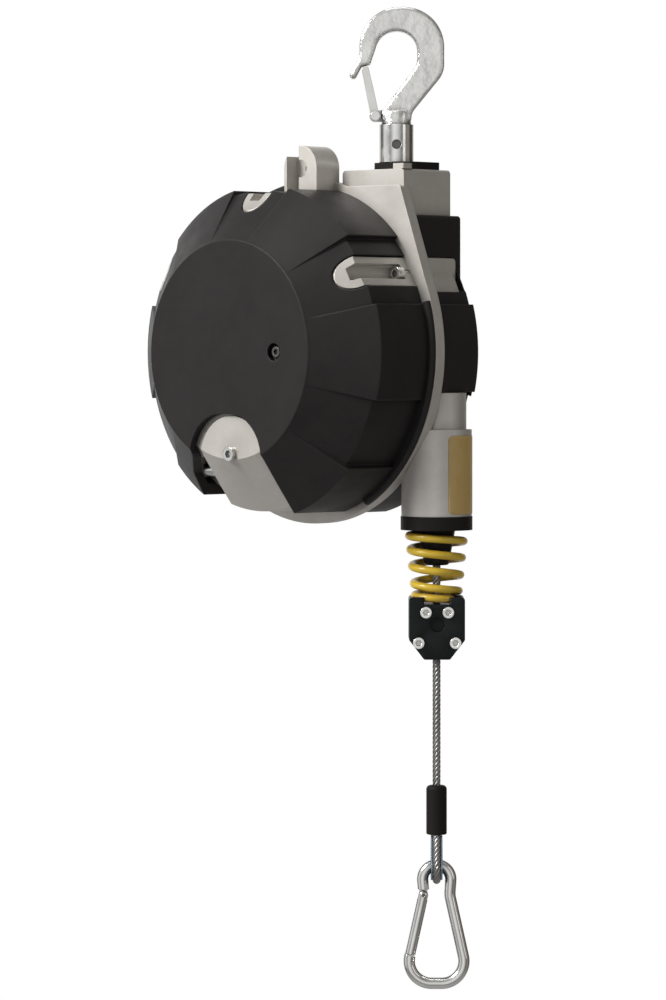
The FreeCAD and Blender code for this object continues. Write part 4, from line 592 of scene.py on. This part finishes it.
def lip_mesh():
    """The moulded lip with which the front cover meets the flange."""
    mesh = bmesh.new()
    corners = len(LIP_SECTION)
    for first, last in LIP_ARCS:
        steps = (last - first) // LIP_STEP
        rings = []
        for i in range(steps + 1):
            angle = math.radians(first + (last - first) * i / steps)
            outwards = Vector((math.cos(angle), 0, math.sin(angle)))
            rings.append([mesh.verts.new(DRUM + outwards * r + Vector((0, y, 0))) for r, y in LIP_SECTION])
        for ring, after in zip(rings, rings[1:]):
            for i in range(corners):
                j = (i + 1) % corners
                mesh.faces.new((ring[i], ring[j], after[j], after[i]))
        mesh.faces.new(list(reversed(rings[0])))
        mesh.faces.new(rings[-1])
    return mesh


lip = new_piece("front_cover_rim", lip_mesh(), FINISHES["black_cover"], False)
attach(lip, "housing")


# ---------------------------------------------------------- light and camera

# name, place as steps along SIDE, TOWARDS and UP from the drum, width, height, watts, colour
LAMPS = (
    ("key", (-2.0, 0.95, 1.35), 0.9, 1.1, 60, (1, 0.985, 0.96)),
    ("fill", (1.6, 1.2, 0.2), 0.6, 1.4, 2.5, (0.98, 0.98, 1)),
    ("top", (0.0, 0.1, 1.9), 1.0, 1.0, 8, (1, 1, 1)),
)
AMBIENT = 0.34
# what metal mirrors, from behind the object to before it
MIRRORED = ((0.10, 0.95), (0.20, 0.12), (0.36, 0.16), (0.52, 0.85), (0.75, 0.55), (0.88, 0.30),
            (0.96, 0.85))
FULL = (1, 1, 1, 1)
RIGHT_SIDE = (0.36, 0.335, 0.30, 1)    # the studio's right is dimmer and warmer than its left
FLOOR_DROP = 2.3       # below the load at the end of its stroke
FLOOR_HALF = 5.0
FLOOR_COLOUR = (0.8, 0.8, 0.8, 1)


def area_light(name, steps, width, height, power, colour):
    lamp = bpy.data.lights.new(name, "AREA")
    lamp.shape = "RECTANGLE"
    lamp.size, lamp.size_y = width, height
    lamp.energy = power
    lamp.color = colour
    item = add_object(name, lamp)
    side, towards, up = steps
    item.location = DRUM + SIDE * side + TOWARDS * towards + UP * up
    item.rotation_euler = (DRUM - item.location).to_track_quat("-Z", "Y").to_euler()


def studio_world():
    """White behind the object, and a studio with darker sides for what metal mirrors."""
    world = bpy.data.worlds.new("studio")
    scene.world = world
    world.use_nodes = True
    tree = world.node_tree
    link = tree.links.new
    path = tree.nodes.new("ShaderNodeLightPath").outputs
    place = tree.nodes.new("ShaderNodeTexCoord").outputs["Generated"]

    def along(direction, start, end):
        """How far a ray points along a direction, as 0 to 1 between two cosines."""
        dot = tree.nodes.new("ShaderNodeVectorMath")
        dot.operation = "DOT_PRODUCT"
        dot.inputs[1].default_value = direction
        link(place, dot.inputs[0])
        spread = tree.nodes.new("ShaderNodeMapRange")
        spread.inputs["From Min"].default_value = start
        spread.inputs["From Max"].default_value = end
        link(dot.outputs["Value"], spread.inputs["Value"])
        return spread.outputs[0]

    def mixed(first, second, factor, kind="MIX"):
        mix = tree.nodes.new("ShaderNodeMix")
        mix.data_type = "RGBA"
        mix.blend_type = kind
        for key, value in (("A", first), ("B", second), ("Factor", factor)):
            if isinstance(value, bpy.types.NodeSocket):
                link(value, mix.inputs[key])
            else:
                mix.inputs[key].default_value = value
        return mix.outputs["Result"]

    ramp = tree.nodes.new("ShaderNodeValToRGB")
    link(along(TOWARDS, -1.0, 1.0), ramp.inputs[0])
    stops = ramp.color_ramp.elements
    stops[0].color = stops[1].color = FULL
    for position, level in MIRRORED:
        stops.new(position).color = (level, level, level, 1)
    sides = mixed(FULL, RIGHT_SIDE, along(SIDE, -0.25, 0.75))
    studio = mixed((AMBIENT, AMBIENT, AMBIENT, 1), ramp.outputs[0], path["Is Glossy Ray"])
    lit = mixed(studio, sides, 1.0, "MULTIPLY")
    seen = tree.nodes.new("ShaderNodeMath")
    seen.operation = "MAXIMUM"
    link(path["Is Camera Ray"], seen.inputs[0])
    link(path["Is Transmission Ray"], seen.inputs[1])
    link(mixed(lit, FULL, seen.outputs[0]), tree.nodes["Background"].inputs["Color"])


def studio_floor():
    """A pale floor below the full stroke, which the camera sees as white."""
    white = bpy.data.materials.new("floor_white")
    white.use_nodes = True
    tree = white.node_tree
    main = tree.nodes["Principled BSDF"]
    main.inputs["Base Color"].default_value = FLOOR_COLOUR
    main.inputs["Roughness"].default_value = 0.8
    glow = tree.nodes.new("ShaderNodeEmission")
    path = tree.nodes.new("ShaderNodeLightPath")
    mix = tree.nodes.new("ShaderNodeMixShader")
    tree.links.new(path.outputs["Is Camera Ray"], mix.inputs[0])
    tree.links.new(main.outputs[0], mix.inputs[1])
    tree.links.new(glow.outputs[0], mix.inputs[2])
    tree.links.new(mix.outputs[0], tree.nodes["Material Output"].inputs["Surface"])
    mesh = bmesh.new()
    bmesh.ops.create_grid(mesh, x_segments=1, y_segments=1, size=FLOOR_HALF)
    item = add_object("floor", mesh_data("floor", mesh))
    item.location = (0, 0, cad_box[0][2] - FLOOR_DROP)
    item.data.materials.append(white)


for row in LAMPS:
    area_light(*row)
studio_world()
studio_floor()

MM_PER_PIXEL = 0.75
PIXELS = (666.0, 1000.0)
HORIZON = 352.0        # the row of the photograph at the camera's height
AXIS_COLUMN = 315.5    # the column in which the drum axis is seen
DISTANCE = 3.15
SENSOR = 36.0
camera_data = bpy.data.cameras.new("camera")
camera_data.sensor_fit = "VERTICAL"
camera_data.sensor_height = SENSOR
camera_data.lens = SENSOR * DISTANCE / (MM_PER_PIXEL * PIXELS[1] / 1000)
camera_data.shift_y = -(PIXELS[1] / 2 - HORIZON) / PIXELS[1]
camera_data.clip_end = 20
camera = add_object("camera", camera_data)
aim = DRUM + SIDE * (PIXELS[0] / 2 - AXIS_COLUMN) * MM_PER_PIXEL / 1000
camera.location = aim + TOWARDS * DISTANCE
camera.rotation_euler = (-TOWARDS).to_track_quat("-Z", "Y").to_euler()
scene.camera = camera
scene.view_settings.view_transform = "Standard"
